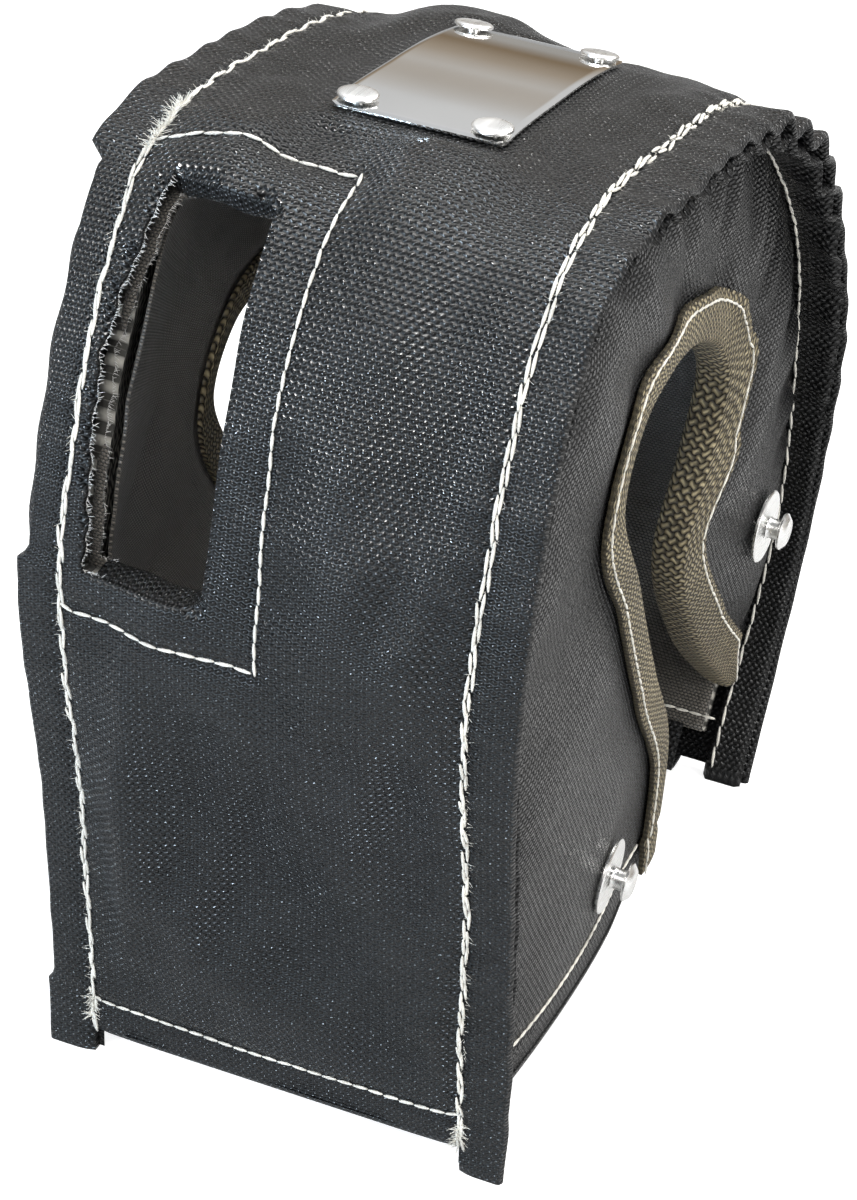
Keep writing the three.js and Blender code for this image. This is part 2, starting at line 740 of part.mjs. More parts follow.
add('band_outer_cloth', makeBandOuter(), blackCloth);
add('band_batt', makeBandLayer(CLOTH + 2 * PLAY, CLOTH + PLAY + BATT), battFibre);
add('band_lining', makeBandLayer(BAND_STACK - LINING, BAND_STACK), greyLining);
add('front_hem_thread', makeBandHemThread(false), creamThread);
add('rear_hem_thread', makeBandHemThread(true), creamThread);
add('window_thread', makeWindowThread(), creamThread);
add('name_plate', makePlate(), mirrorSteel);
for (const place of plateSpots()) add(place.name, makePlateRivet(place), satinSteel);
for (const [hand, side] of [['right', 1], ['left', -1]]) {
  add(`${hand}_panel_cloth`, makePanelOuter(side), blackCloth);
  add(`${hand}_panel_batt`, makePanelLayer(side, 'batt'), battFibre);
  add(`${hand}_panel_lining`, makePanelLayer(side, 'lining'), greyLining);
  add(`${hand}_edge_binding`, makeBinding(side), oliveTape);
  add(`${hand}_seam_thread`, makeSeamThread(side), creamThread);
  add(`${hand}_panel_hem_thread`, makePanelHemThread(side), creamThread);
  add(`${hand}_binding_thread`, makeBindingThread(side), creamThread);
  addAnchor(hand, side, 'front');
  addAnchor(hand, side, 'rear');
}

// The origin lies on the ground under the middle of the whole cover
group.updateMatrixWorld(true);
const extent = new THREE.Box3().setFromObject(group);
group.position.y = -(extent.min.y + extent.max.y) / 2;

export default group;
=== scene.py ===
import math

import bpy
import numpy as np
from mathutils import Matrix, Vector


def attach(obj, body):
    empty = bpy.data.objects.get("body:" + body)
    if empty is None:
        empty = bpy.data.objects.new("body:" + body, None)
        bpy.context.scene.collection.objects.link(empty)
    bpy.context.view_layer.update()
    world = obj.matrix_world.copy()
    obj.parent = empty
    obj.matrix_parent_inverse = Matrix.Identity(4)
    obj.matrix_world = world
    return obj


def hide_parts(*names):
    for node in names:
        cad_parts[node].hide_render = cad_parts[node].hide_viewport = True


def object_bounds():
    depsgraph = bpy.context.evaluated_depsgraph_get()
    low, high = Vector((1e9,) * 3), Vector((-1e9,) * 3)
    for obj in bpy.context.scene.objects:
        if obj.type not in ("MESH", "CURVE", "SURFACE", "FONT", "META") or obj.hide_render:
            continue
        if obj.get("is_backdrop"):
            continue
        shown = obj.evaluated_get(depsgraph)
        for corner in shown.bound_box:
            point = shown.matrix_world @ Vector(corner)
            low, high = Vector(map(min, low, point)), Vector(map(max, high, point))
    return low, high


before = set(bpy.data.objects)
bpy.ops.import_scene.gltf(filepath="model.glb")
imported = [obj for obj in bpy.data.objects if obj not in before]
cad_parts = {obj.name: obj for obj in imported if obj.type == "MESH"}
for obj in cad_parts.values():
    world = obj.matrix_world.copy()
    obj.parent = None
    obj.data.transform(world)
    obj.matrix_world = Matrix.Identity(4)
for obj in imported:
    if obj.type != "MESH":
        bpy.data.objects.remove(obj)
CAD_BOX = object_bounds()

bl_info = {
    "name": "Turbo Heat Blanket",
    "version": (1, 0, 0),
    "blender": (4, 5, 0),
    "location": "View3D > Sidebar > Heat Blanket",
    "description": "Dresses the heat blanket's frame in cloth, tape, thread and metal",
    "category": "Object",
}

MM = 0.001
TAU = math.tau

# The blanket's own measures in millimetres, the same as in the solid model,
# apart from the rear hem, which hangs lower here
SEAM_SPACING = 92.0
FLANGE = 10.5
PANEL_FLANGE = 9.5
HEM_LIFT = 7.0
REAR_HEM_LIFT = 1.5
HEM_DEPTH = 12.0
CLOTH = 1.2
BATT = 6.0
LINING = 0.8
PLAY = 0.4
HEM_PLAY = 1.0
FLANGE_PLAY = 0.9
BAND_PUFF = 3.5
PANEL_PUFF = 6.0
GATHER = 1.1
SEAM_OUTLINE = [
    (-95, 0), (-108, 76), (-124, 155), (-96, 227), (-31, 231), (39, 212), (103, 149.5), (123, 70.5),
    (90.5, 0)
]
OPENING_OUTLINE = [
    (35, 8), (25, 48), (-5, 86), (-33, 125), (-53, 156), (-44, 171), (-24, 175), (-4, 172.5),
    (17, 165), (34, 154), (44, 140), (37, 120), (26, 101), (50, 66), (93, 27),
]
OPENING_FLARE = [0, 2, 4, 5, 5, 4.5, 3.5, 2, 1, 0, 0, 0, 0, 0, 0]
TAIL_LIFT = 24.0
TAIL_FLAT = 22.0
EDGE_BATT = 2.3
EDGE_ZONE = 14.0
TAPE_FACE = 10.5
TAPE = 1.2
TAPE_PLAY = 0.7
EDGE_SETBACK = 3.0
WINDOW_INSET = 3.0
WINDOW_WIDTH = 30.5
WINDOW_SILL = 152.0
WINDOW_HEIGHT = 85.0
WINDOW_STITCH = 11.5
PLATE_START = 267.0
PLATE_LENGTH = 76.0
PLATE_WIDTH = 38.5
PLATE_OFFSET = 3.0
PLATE = 0.8
PLATE_RIVET_INSET = 4.4
PLATE_HEAD = 4.4
PLATE_SHANK = 1.6
ANCHOR_PLACES = {"front": (33.5, 80.0), "rear": (537.0, 38.0)}
ANCHOR_WASHER = 9.5
ANCHOR_WASHER_THICKNESS = 1.0
ANCHOR_POST = 2.6
ANCHOR_POST_LENGTH = 3.4
ANCHOR_HEAD = 4.8
ANCHOR_HEAD_THICKNESS = 1.8
ANCHOR_SHANK = 2.0
CLINCH_WASHER = 6.5
ANCHOR_SEAT = 0.7
CLINCH_SEAT = 2.2
HALF = SEAM_SPACING / 2
BAND_STACK = CLOTH + PLAY + BATT + PLAY + LINING
FLANGE_STACK = 2 * CLOTH + FLANGE_PLAY
# How far the solid model lies back from the outlines above
SHIFT = 1.2315

# Extra shapes that the cloth takes on, in millimetres
GRID = 2.0
LAYER_GRID = GRID * 1.3
HEM_STITCH = HEM_DEPTH - 1
THREAD_RISE = 0.35
WINDOW_CORNER = 3.5
WINDOW_LEFT_ZONE = 8.0
PLATE_CORNER = 1.6
BATT_SETTLE = 1.2
LEFT_FLANGE = [
    (0, 1.12), (19, 1.12), (22, 0.95), (150, 0.98), (153, 0.72), (200, 0.66), (239, 0.8), (243, 1.18),
    (300, 1.05), (640, 1.0)
]
WINDOW_LEFT_EDGE = [
    (150, -40.5), (165, -40.5), (185, -42.0), (200, -42.5), (215, -40.5), (228, -38.0), (240, -37.0)
]


def smoothstep(value, low, high):
    t = np.clip((np.asarray(value, float) - low) / (high - low), 0, 1)
    return t * t * (3 - 2 * t)


# Outlines


def centripetal(outline):
    """A smooth line through the points, as a function of a share from 0 to 1."""
    points = np.array(outline, float)
    ends = np.vstack([2 * points[0] - points[1], points, 2 * points[-1] - points[-2]])
    spans = len(points) - 1

    def at(share):
        place = np.clip(np.asarray(share, float), 0, 1) * spans
        k = np.minimum(place.astype(int), spans - 1)
        w = (place - k)[..., None]
        p0, p1, p2, p3 = ends[k], ends[k + 1], ends[k + 2], ends[k + 3]
        d0, d1, d2 = (
            (np.sum((b - a) ** 2, axis=-1) ** 0.25)[..., None] for a, b in ((p0, p1), (p1, p2), (p2, p3))
        )
        t1 = ((p1 - p0) / d0 - (p2 - p0) / (d0 + d1) + (p2 - p1) / d1) * d1
        t2 = ((p2 - p1) / d1 - (p3 - p1) / (d1 + d2) + (p3 - p2) / d2) * d1
        a = 2 * p1 - 2 * p2 + t1 + t2
        b = -3 * p1 + 3 * p2 - 2 * t1 - t2
        return ((a * w + b) * w + t1) * w + p1

    return at


def heading(line, share):
    step = 1e-4
    way = line(np.clip(share + step, 0, 1)) - line(np.clip(share - step, 0, 1))
    return way / np.linalg.norm(way, axis=-1, keepdims=True)


def run_along(points):
    """Distance travelled at each point of a polyline."""
    return np.concatenate([[0], np.cumsum(np.linalg.norm(np.diff(points, axis=0), axis=1))])


seam = centripetal(SEAM_OUTLINE)
opening = centripetal(OPENING_OUTLINE)
SEAM_SHARES = np.linspace(0, 1, 801)
SEAM_LENGTHS = run_along(seam(SEAM_SHARES))
SEAM_LENGTH = float(SEAM_LENGTHS[-1])


def seam_frame(length):
    """Place, direction and outward direction, each (y, z), at lengths along the seam."""
    share = np.interp(length, SEAM_LENGTHS, SEAM_SHARES)
    along = heading(seam, share)
    return seam(share), along, np.stack([-along[..., 1], along[..., 0]], axis=-1)


def beside(x, length, rise):
    """Points at x across, a length along the seam and a rise outwards."""
    x, length, rise = np.broadcast_arrays(*(np.asarray(v, float) for v in (x, length, rise)))
    point, _, out = seam_frame(length)
    yz = point + out * rise[..., None]
    return np.concatenate([x[..., None], yz], axis=-1)


def length_at_height(height, rear=False):
    lengths = np.linspace(0, SEAM_LENGTH / 3, 4000)
    run = SEAM_LENGTH - lengths if rear else lengths
    z = seam_frame(run)[0][:, 1]
    return float(np.interp(height, z, run))


FRONT_HEM = length_at_height(HEM_LIFT)
REAR_HEM = length_at_height(REAR_HEM_LIFT, True)
TAIL = length_at_height(TAIL_LIFT, True)
WINDOW_HEAD = WINDOW_SILL + WINDOW_HEIGHT
WINDOW_LEFT = -HALF + WINDOW_INSET
WINDOW_RIGHT = WINDOW_LEFT + WINDOW_WIDTH


def ripples(a, b, seed, shortest, longest, count=9):
    """Soft seeded waves over the plane a, b, about 1 high."""
    draw = np.random.default_rng(seed)
    total = 0.0
    for _ in range(count):
        wave = draw.uniform(shortest, longest)
        turn, phase = draw.uniform(0, TAU, 2)
        total = total + np.sin((a * math.cos(turn) + b * math.sin(turn)) * TAU / wave + phase)
    return total / math.sqrt(count / 2)


def steps(stops, step):
    """Numbers no further than step apart that hold every stop."""
    parts = [np.array([stops[0]], float)]
    for low, high in zip(stops, stops[1:]):
        count = max(1, math.ceil(abs(high - low) / step))
        parts.append(np.linspace(low, high, count + 1)[1:])
    return np.concatenate(parts)


def distance_to(line, x, y):
    """Distance from points to a polyline in the cloth's own plane, and the nearest place on it."""
    flat = np.stack([np.ravel(x), np.ravel(y)], axis=1)
    best = np.full(len(flat), 1e9)
    near = np.zeros_like(flat)
    for a, b in zip(line[:-1], line[1:]):
        way = b - a
        t = np.clip(((flat - a) @ way) / max(way @ way, 1e-9), 0, 1)
        spot = a + t[:, None] * way
        gap = np.linalg.norm(flat - spot, axis=1)
        closer = gap < best
        best[closer] = gap[closer]
        near[closer] = spot[closer]
    return best.reshape(np.shape(x)), near.reshape(np.shape(x) + (2,))


def inside(line, x, y):
    """Whether points lie inside a closed polyline."""
    odd = np.zeros(np.shape(x), bool)
    for (x0, y0), (x1, y1) in zip(line[:-1], line[1:]):
        if y0 == y1:
            continue
        crosses = (y0 > y) != (y1 > y)
        odd ^= crosses & (x < (x1 - x0) * (y - y0) / (y1 - y0) + x0)
    return odd


def middles(grid):
    """A number at the middle of each cell of a grid."""
    return (grid[1:, 1:] + grid[:-1, :-1]) / 2


def rim_points(hole):
    """The grid points that touch both a cell of the hole and a kept cell."""
    rows, columns = hole.shape
    touching, kept = np.zeros((2, rows + 1, columns + 1), bool)
    for i, j in ((0, 0), (0, 1), (1, 0), (1, 1)):
        touching[i:i + rows, j:j + columns] |= hole
        kept[i:i + rows, j:j + columns] |= ~hole
    return touching & kept


# Cloth meshes


class Cloth:
    """Gathers walls of cloth, each an outer and an inner grid of points, into one mesh."""

    def __init__(self):
        self.points, self.faces, self.uvs, self.total = [], [], [], 0

    def wall(self, outer, inner, uv, skip=None):
        rows, columns = outer.shape[:2]
        keep = np.ones((rows - 1, columns - 1), bool) if skip is None else ~skip
        top = np.arange(rows * columns).reshape(rows, columns)
        under = top + rows * columns
        faces = []

        def corners(grid):
            return grid[:-1, :-1], grid[1:, :-1], grid[1:, 1:], grid[:-1, 1:]

        a, b, c, d = corners(top)
        e, f, g, h = corners(under)
        faces.append(np.stack([a, b, c, d], -1)[keep])
        faces.append(np.stack([e, h, g, f], -1)[keep])
        wide = np.pad(keep, 1)
        bare = {
            "low": ~wide[:-2, 1:-1], "high": ~wide[2:, 1:-1], "left": ~wide[1:-1, :-2],
            "right": ~wide[1:-1, 2:],
        }
        faces.append(np.stack([a, d, h, e], -1)[keep & bare["low"]])
        faces.append(np.stack([c, b, f, g], -1)[keep & bare["high"]])
        faces.append(np.stack([b, a, e, f], -1)[keep & bare["left"]])
        faces.append(np.stack([d, c, g, h], -1)[keep & bare["right"]])
        faces = np.concatenate(faces)
        points = np.concatenate([outer.reshape(-1, 3), inner.reshape(-1, 3)])
        q = points[faces]
        middle = q.mean(axis=(0, 1))
        q = q - middle
        volume = np.sum(np.cross(q[:, 1] - q[:, 0], q[:, 2] - q[:, 0]) * q[:, 0])
        volume += np.sum(np.cross(q[:, 2] - q[:, 0], q[:, 3] - q[:, 0]) * q[:, 0])
        if volume < 0:
            faces = faces[:, ::-1]
        used, faces = np.unique(faces, return_inverse=True)
        flat = np.concatenate([uv.reshape(-1, 2)] * 2)
        self.points.append(points[used])
        self.uvs.append(flat[used])
        self.faces.append(faces.reshape(-1, 4) + self.total)
        self.total += len(used)
        return self

    def build(self, name, material):
        points = np.concatenate(self.points)
        faces = np.concatenate(self.faces)
        return mesh_object(name, points, faces, material, np.concatenate(self.uvs))


def mesh_object(name, points, faces, material, uv=None, smooth=True):
    """An object at the origin whose mesh holds the points, given in millimetres."""
    placed = np.asarray(points, float) + (0, SHIFT, 0)
    mesh = bpy.data.meshes.new(name)
    mesh.from_pydata((placed * MM).tolist(), [], [tuple(map(int, face)) for face in faces])
    mesh.materials.append(material)
    if smooth:
        mesh.shade_smooth()
    if uv is not None:
        layer = mesh.uv_layers.new(name="cloth")
        index = np.zeros(len(mesh.loops), np.int32)
        mesh.loops.foreach_get("vertex_index", index)
        layer.data.foreach_set("uv", (np.asarray(uv)[index] * MM).ravel())
    mesh.validate()
    piece = bpy.data.objects.new(name, mesh)
    bpy.context.scene.collection.objects.link(piece)
    return piece


def standing_for(piece, slot, *nodes):
    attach(piece, "root")
    if nodes:
        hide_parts(*nodes)
    return piece


# The band


def band_rise(x, length):
    across = np.minimum(1, np.abs(x) / HALF)
    from_hem = np.minimum(length - FRONT_HEM, REAR_HEM - length)
    return BAND_PUFF * (1 - across**4) * smoothstep(from_hem, 0, 40)


def window_line():
    """The window's edge in the cloth's plane, closed, with soft corners and an uneven left side."""
    corner = WINDOW_CORNER
    right, low, high = WINDOW_RIGHT, WINDOW_SILL, WINDOW_HEAD
    points = []
    for k in range(7):
        turn = -math.pi / 2 + k / 6 * math.pi / 2
        points.append((right - corner + corner * math.cos(turn), low + corner + corner * math.sin(turn)))
    for k in range(7):
        turn = k / 6 * math.pi / 2
        points.append((right - corner + corner * math.cos(turn), high - corner + corner * math.sin(turn)))
    left_lengths, left_places = zip(*WINDOW_LEFT_EDGE)
    run = np.linspace(high, low, 44)
    for k, length in enumerate(run):
        rough = 0.35 * math.sin(k * 1.9) + 0.3 * math.sin(k * 0.83 + 1)
        points.append((float(np.interp(length, left_lengths, left_places)) + rough, float(length)))
    points.append(points[0])
    line = np.array(points)
    filled = [line[0]]
    for a, b in zip(line[:-1], line[1:]):
        count = max(1, math.ceil(float(np.linalg.norm(b - a)) / 1.6))
        filled.extend(a + (b - a) * n / count for n in range(1, count + 1))
    filled = np.array(filled)
    sag = 1.2 * np.sin(filled[:, 0] * 0.12 + 1.0) * smoothstep(filled[:, 1], high - 6, high)
    filled[:, 1] += sag
    return filled


WINDOW_LINE = window_line()


def window_stitch_line():
    left = -HALF + 1.5
    right = WINDOW_RIGHT + WINDOW_STITCH
    head = WINDOW_HEAD + WINDOW_STITCH
    sill = WINDOW_SILL - WINDOW_STITCH
    corners = [
        (left, head - 2), (left + 20, head), (right, head + 1), (right - 1, (head + sill) / 2),
        (right + 1, sill), (left, sill + 1)
    ]
    return np.array(corners)


WINDOW_STITCHES = window_stitch_line()


def round_over(gap, radius):
    """How deep a rounded edge lies at a distance in from its end."""
    t = np.clip(1 - gap / radius, 0, 1)
    return radius * (1 - np.sqrt(np.maximum(0, 1 - t * t)))


def band_relief(x, length):
    """Folds, puckers and sewn valleys of the band's outer cloth, outwards."""
    side = np.abs(x)
    body = smoothstep(HALF - side, 0, 12) * smoothstep(
        np.minimum(length - FRONT_HEM, REAR_HEM - length), 6, 30
    )
    relief = body * (
        1.4 * ripples(x, length * 0.55, 11, 34, 80)
        + 0.35 * ripples(x * 1.2, length * 0.7, 12, 14, 26)
    )
    # Hollow between the plate and the window's corner, and the swell below it
    relief = relief - body * 2.6 * np.exp(-(((x + 7) / 11) ** 2 + ((length - 255) / 13) ** 2))
    relief = relief + body * 2.2 * np.exp(-(((x - 8) / 15) ** 2 + ((length - 212) / 24) ** 2))
    relief = relief - body * 1.6 * np.exp(-(((x - 30) / 9) ** 2 + ((length - 250) / 34) ** 2))
    # The plate holds the cloth flat under it
    under = smoothstep(PLATE_WIDTH / 2 + 7 - np.abs(x - PLATE_OFFSET), 0, 6)
    under = under * smoothstep(length, PLATE_START - 8, PLATE_START - 1)
    under = under * (1 - smoothstep(length, PLATE_START + PLATE_LENGTH + 1, PLATE_START + PLATE_LENGTH + 8))
    relief = relief * (1 - under) - 0.3 * under
    # Long soft fold beside the left seam and one beside the right
    fold = x + 33 - 0.05 * (length - 90)
    relief = (
        relief + body * 2.7 * np.exp(-((fold / 5) ** 2)) * smoothstep(length, 20, 60)
        * (1 - smoothstep(length, 120, 142))
    )
    fold = x - 33 + 0.04 * (length - 90)
    relief = (
        relief - body * 1.2 * np.exp(-((fold / 6) ** 2)) * smoothstep(length, 10, 40)
        * (1 - smoothstep(length, 150, 200))
    )
    # Sewn lines
    relief = relief - 0.9 * np.exp(-(((side - HALF) / 1.7) ** 2))
    pucker = np.sin(length * TAU / 10.5 + 1.4 * np.sin(length / 23)) * np.exp(-np.abs(side - HALF) / 6)
    relief = relief + 0.4 * pucker * smoothstep(side, HALF - 16, HALF - 6)
    gap, _ = distance_to(WINDOW_STITCHES, x, length)
    relief = relief - 0.9 * np.exp(-((gap / 1.6) ** 2))
    for rear in (False, True):
        hem = length_at_height((REAR_HEM_LIFT if rear else HEM_LIFT) + HEM_STITCH, rear)
        line = np.exp(-(((length - hem) / 1.6) ** 2)) * (side < HALF)
        relief = relief - 0.7 * line
    return relief


def crown_share(length):
    return (
        smoothstep(length, WINDOW_HEAD - 10, WINDOW_HEAD + 40)
        * (1 - smoothstep(length, REAR_HEM - 150, REAR_HEM - 80))
    )


def flange_wave(length, seed, reach=1.0):
    crown = smoothstep(length, WINDOW_HEAD - 40, WINDOW_HEAD + 20)
    fade = 1 - smoothstep(length, REAR_HEM - 130, REAR_HEM - 60)
    lively = 0.3 + 0.7 * crown * fade
    wave = (
        np.sin(length * TAU / 17 + 1.8 * np.sin(length / 31 + seed)) + 0.5
        * ripples(length, 0 * length, seed, 12, 40)
    )
    return reach * GATHER * lively * wave


def band_surface(x, length, depth=0.0):
    """Points of the band under its outer cloth's face; flanges wave at their tips."""
    beyond = np.clip((np.abs(x) - HALF) / FLANGE, 0, 1)
    left_lengths, left_widths = zip(*LEFT_FLANGE)
    width = np.where(
        x < 0, np.interp(length, left_lengths, left_widths),
        1 + 0.05 * np.sin(length / 19) + 0.22 * crown_share(length)
    )
    placed = np.where(beyond > 0, np.sign(x) * (HALF + beyond * FLANGE * width), x)
    foot = smoothstep(np.minimum(length, SEAM_LENGTH - length), 0, 12)
    lively = np.where(x < 0, 0.35, 1.1 + 0.5 * np.sin(length / 27))
    wave = beyond**1.5 * (flange_wave(length, 3, 1.0) * lively - 0.5) * foot
    rise = band_rise(np.clip(x, -HALF, HALF), length) + band_relief(x, length) + wave
    return beside(placed, length, rise - depth)


def band_normal(x, length):
    step = 0.6
    a = band_surface(x + step, length) - band_surface(x - step, length)
    b = band_surface(x, length + step) - band_surface(x, length - step)
    normal = np.cross(a, b)
    normal /= np.linalg.norm(normal, axis=-1, keepdims=True)
    _, _, out = seam_frame(length)
    facing = np.sign(np.sum(normal[..., 1:] * out, axis=-1))[..., None]
    return normal * facing


def level(points, height):
    """The same points at one height, slid along their own fall."""
    made = points.copy()
    made[..., 2] = height
    return made


def make_band_cloth(material):
    edge = HALF + FLANGE
    across = steps(
        [-edge, -edge + 0.5, -edge + 1.2, -HALF, -WINDOW_RIGHT, HALF, edge - 1.2, edge - 0.5, edge], GRID
    )
    across = np.sort(across)
    lengths = steps(
        [
            0, FRONT_HEM, FRONT_HEM + 0.6, FRONT_HEM + 2, WINDOW_SILL, WINDOW_HEAD,
            REAR_HEM - 2, REAR_HEM - 0.6, REAR_HEM, SEAM_LENGTH,
        ],
        GRID
    )
    x, length = np.meshgrid(across, lengths)
    hole = inside(WINDOW_LINE, x, length)
    middle_x, middle_l = middles(x), middles(length)
    window = inside(WINDOW_LINE, middle_x, middle_l)
    past_hem = (middle_l < FRONT_HEM) | (middle_l > REAR_HEM)
    skip = window | ((np.abs(middle_x) < HALF) & past_hem)
    gap, near = distance_to(WINDOW_LINE, x, length)
    rim = rim_points(window)
    x = np.where(rim, near[..., 0], x)
    length = np.where(rim, near[..., 1], length)
    gap = np.where(rim, 0, gap)
    turned = round_over(gap, 2.0) * (1 - hole)
    tip = round_over(edge - np.abs(x), 1.2)
    hem_gap = np.minimum(np.abs(length - FRONT_HEM), np.abs(length - REAR_HEM))
    hem = np.where(np.abs(x) < HALF - 0.01, round_over(hem_gap, 1.6), 0)
    out = turned + tip + hem
    thick = np.where(np.abs(x) >= HALF - 0.01, 2 * CLOTH, CLOTH)
    outer = band_surface(x, length, out)
    inner = band_surface(x, length, np.maximum(thick - tip, out + 0.3))
    for row in (0, -1):
        outer[row] = level(outer[row], 0.0)
        inner[row] = level(inner[row], 0.0)
    cloth = Cloth().wall(outer, inner, np.stack([x, length], -1), skip)
    for rear in (False, True):
        add_hem_turn(cloth, rear)
    add_window_turn(cloth)
    return cloth.build("band_cloth", material)


def add_hem_turn(cloth, rear):
    """The hem's cloth, turned under the layers and up inside them."""
    hem = REAR_HEM if rear else FRONT_HEM
    lift = REAR_HEM_LIFT if rear else HEM_LIFT
    top = length_at_height(lift + HEM_DEPTH, rear)
    inner = BAND_STACK + HEM_PLAY + CLOTH / 2
    route = [
        (0.9, 1.2), (1.2, 0.5), (1.8, 0.1), (3.0, 0.0), (6.0, 0.0), (8.2, 0.1), (9.6, 0.5), (inner, 1.5)
    ]
    route += [(inner + 0.25 * math.sin(k), 1.5 + 1.5 * k) for k in range(1, 8)]
    across = steps([-HALF + 8.5, HALF - 8.5], GRID)
    sides = []
    for grow in (0.0, CLOTH):
        rows = []
        for k, (depth, height) in enumerate(route):
            bend = min(1.0, max(0.0, (depth - 1.5) / 7))
            share = min(1.0, height / HEM_DEPTH)
            length = hem + (top - hem) * share
            place = depth - grow * (1 - 2 * bend)
            over = height + (grow * 0.9 if 0.5 < depth < 9.5 else 0)
            line = beside(across, length, -place + 0.3 * np.sin(across / 9))
            line[:, 2] = lift + 0.1 + over
            rows.append(line)
        sides.append(np.array(rows))
    run = run_along(np.array(route))
    uv = np.stack(np.meshgrid(across, hem - run), -1)
    cloth.wall(sides[0], sides[1], uv)


def add_window_turn(cloth):
    """The window's cloth, turned in round its head, right side and sill."""
    line = WINDOW_LINE
    first = int(np.argmin(np.hypot(line[:, 0] - WINDOW_LEFT - 5, line[:, 1] - WINDOW_SILL)))
    last = int(np.argmin(np.hypot(line[:, 0] - WINDOW_LEFT - 6, line[:, 1] - WINDOW_HEAD)))
    part = np.concatenate([line[first:-1], line[:last + 1]]) if first > last else line[first:last + 1]
    way = np.gradient(part, axis=0)
    way /= np.linalg.norm(way, axis=1, keepdims=True)
    side = np.stack([way[:, 1], -way[:, 0]], -1)
    depths = np.array([1.6, 2.4, 3.6, 5.2, 6.8, 8.0, 8.8])
    spread = np.array([0.15, 0.0, 0.25, 0.55, 0.6, 0.45, 0.3])
    rows_out, rows_in, uv = [], [], []
    for depth, swell in zip(depths, spread):
        shift = 0.1 + 0.3 * (depth > 3)
        spot = (
            part + side * (shift - swell + 0.25 * np.sin(np.arange(len(part)) * 0.7)[:, None] * (depth > 3))
        )
        back = part + side * (shift + 1.1)
        rows_out.append(band_surface(spot[:, 0], spot[:, 1], depth))
        rows_in.append(band_surface(back[:, 0], back[:, 1], depth))
        run = np.arange(len(part)) * 1.6
        uv.append(np.stack([np.full(len(part), depth), run], -1))
    cloth.wall(np.array(rows_out), np.array(rows_in), np.array(uv))


def make_band_layer(name, top, bottom, material, seed, inset, ragged):
    """Batt or lining of the band between two depths."""
    edge = HALF - WINDOW_INSET - PLAY
    floor = HEM_LIFT + PLAY / 2 + PLAY + CLOTH
    low, high = length_at_height(floor), length_at_height(floor, True)
    across = steps([-edge, 0, edge], LAYER_GRID)
    lengths = steps([low, WINDOW_SILL, WINDOW_HEAD, high], LAYER_GRID)
    x, length = np.meshgrid(across, lengths)
    line = WINDOW_LINE.copy()
    centre = line.mean(axis=0)
    way = line - centre
    grow = inset / np.maximum(np.linalg.norm(way, axis=1, keepdims=True), 1)
    line = line + way * grow
    if not ragged:
        line[line[:, 0] < WINDOW_LEFT + WINDOW_LEFT_ZONE, 0] -= 5
    else:
        left = line[:, 0] < WINDOW_LEFT + WINDOW_LEFT_ZONE
        line[left, 0] += 1.2 + 0.5 * np.sin(np.arange(left.sum()) * 2.3)
    skip = inside(line, middles(x), middles(length))
    _, near = distance_to(line, x, length)
    rim = rim_points(skip)
    x = np.where(rim, near[..., 0], x)
    length = np.where(rim, near[..., 1], length)
    sag = (
        -0.6 * np.abs(ripples(x, length * 0.7, seed, 22, 60)) * smoothstep(edge - np.abs(x), 0, 8) * ragged
    )
    calm = smoothstep(np.minimum(length - low, high - length), 10, 30)
    relief = band_relief(x, length) * calm * (0.6 if ragged else 1.0)
    sag = sag * calm
    sides = []
    for depth in (top, bottom):
        rise = band_rise(x, length) + relief - depth + sag
        sides.append(beside(x, length, rise))
    return Cloth().wall(sides[0], sides[1], np.stack([x, length], -1), skip).build(name, material)


# The side panels


def panel_station(length):
    """Root, edge and spoke of the panel at lengths along the seam, and the zone under the tape."""
    length = np.asarray(length, float)
    share = np.clip((length - FRONT_HEM) / (TAIL - FRONT_HEM), 0, 1)
    root = beside(0, length, -FLANGE_STACK - 2 * CLOTH)[..., 1:]
    edge = opening(share)
    spoke = edge - root
    reach = np.linalg.norm(spoke, axis=-1)
    way = heading(opening, share)
    slant = np.maximum(0.5, np.abs(spoke[..., 0] * way[..., 1] - spoke[..., 1] * way[..., 0]) / reach)
    zone = np.minimum(EDGE_ZONE / slant, 0.6 * reach) / reach
    return {
        "length": length, "share": share, "root": root, "edge": edge, "spoke": spoke, "reach": reach,
        "slant": slant, "zone": zone
    }


def panel_bulge(station, s):
    def rounded(s):
        full = smoothstep(station["reach"], 25, 75)
        rise = smoothstep(station["share"], -0.02, 0.14)
        swell = np.sin(np.pi * np.minimum(1, s / (1 - station["zone"] / 2)))
        place = station["share"] * (len(OPENING_FLARE) - 1)
        flare = np.interp(place, np.arange(len(OPENING_FLARE)), OPENING_FLARE) * smoothstep(s, 0.45, 1)
        return PANEL_PUFF * full * (0.35 + 0.65 * rise) * np.maximum(0, swell) + flare

    start = 1 - station["zone"]
    over = (s - start) / station["zone"]
    straight = rounded(start) + (rounded(np.ones_like(start)) - rounded(start)) * over
    return np.where(s <= start, rounded(s), straight)


def panel_batt(station, s):
    over = np.maximum(0, (s - 1 + station["zone"]) / station["zone"])
    return BATT + (EDGE_BATT - BATT) * over


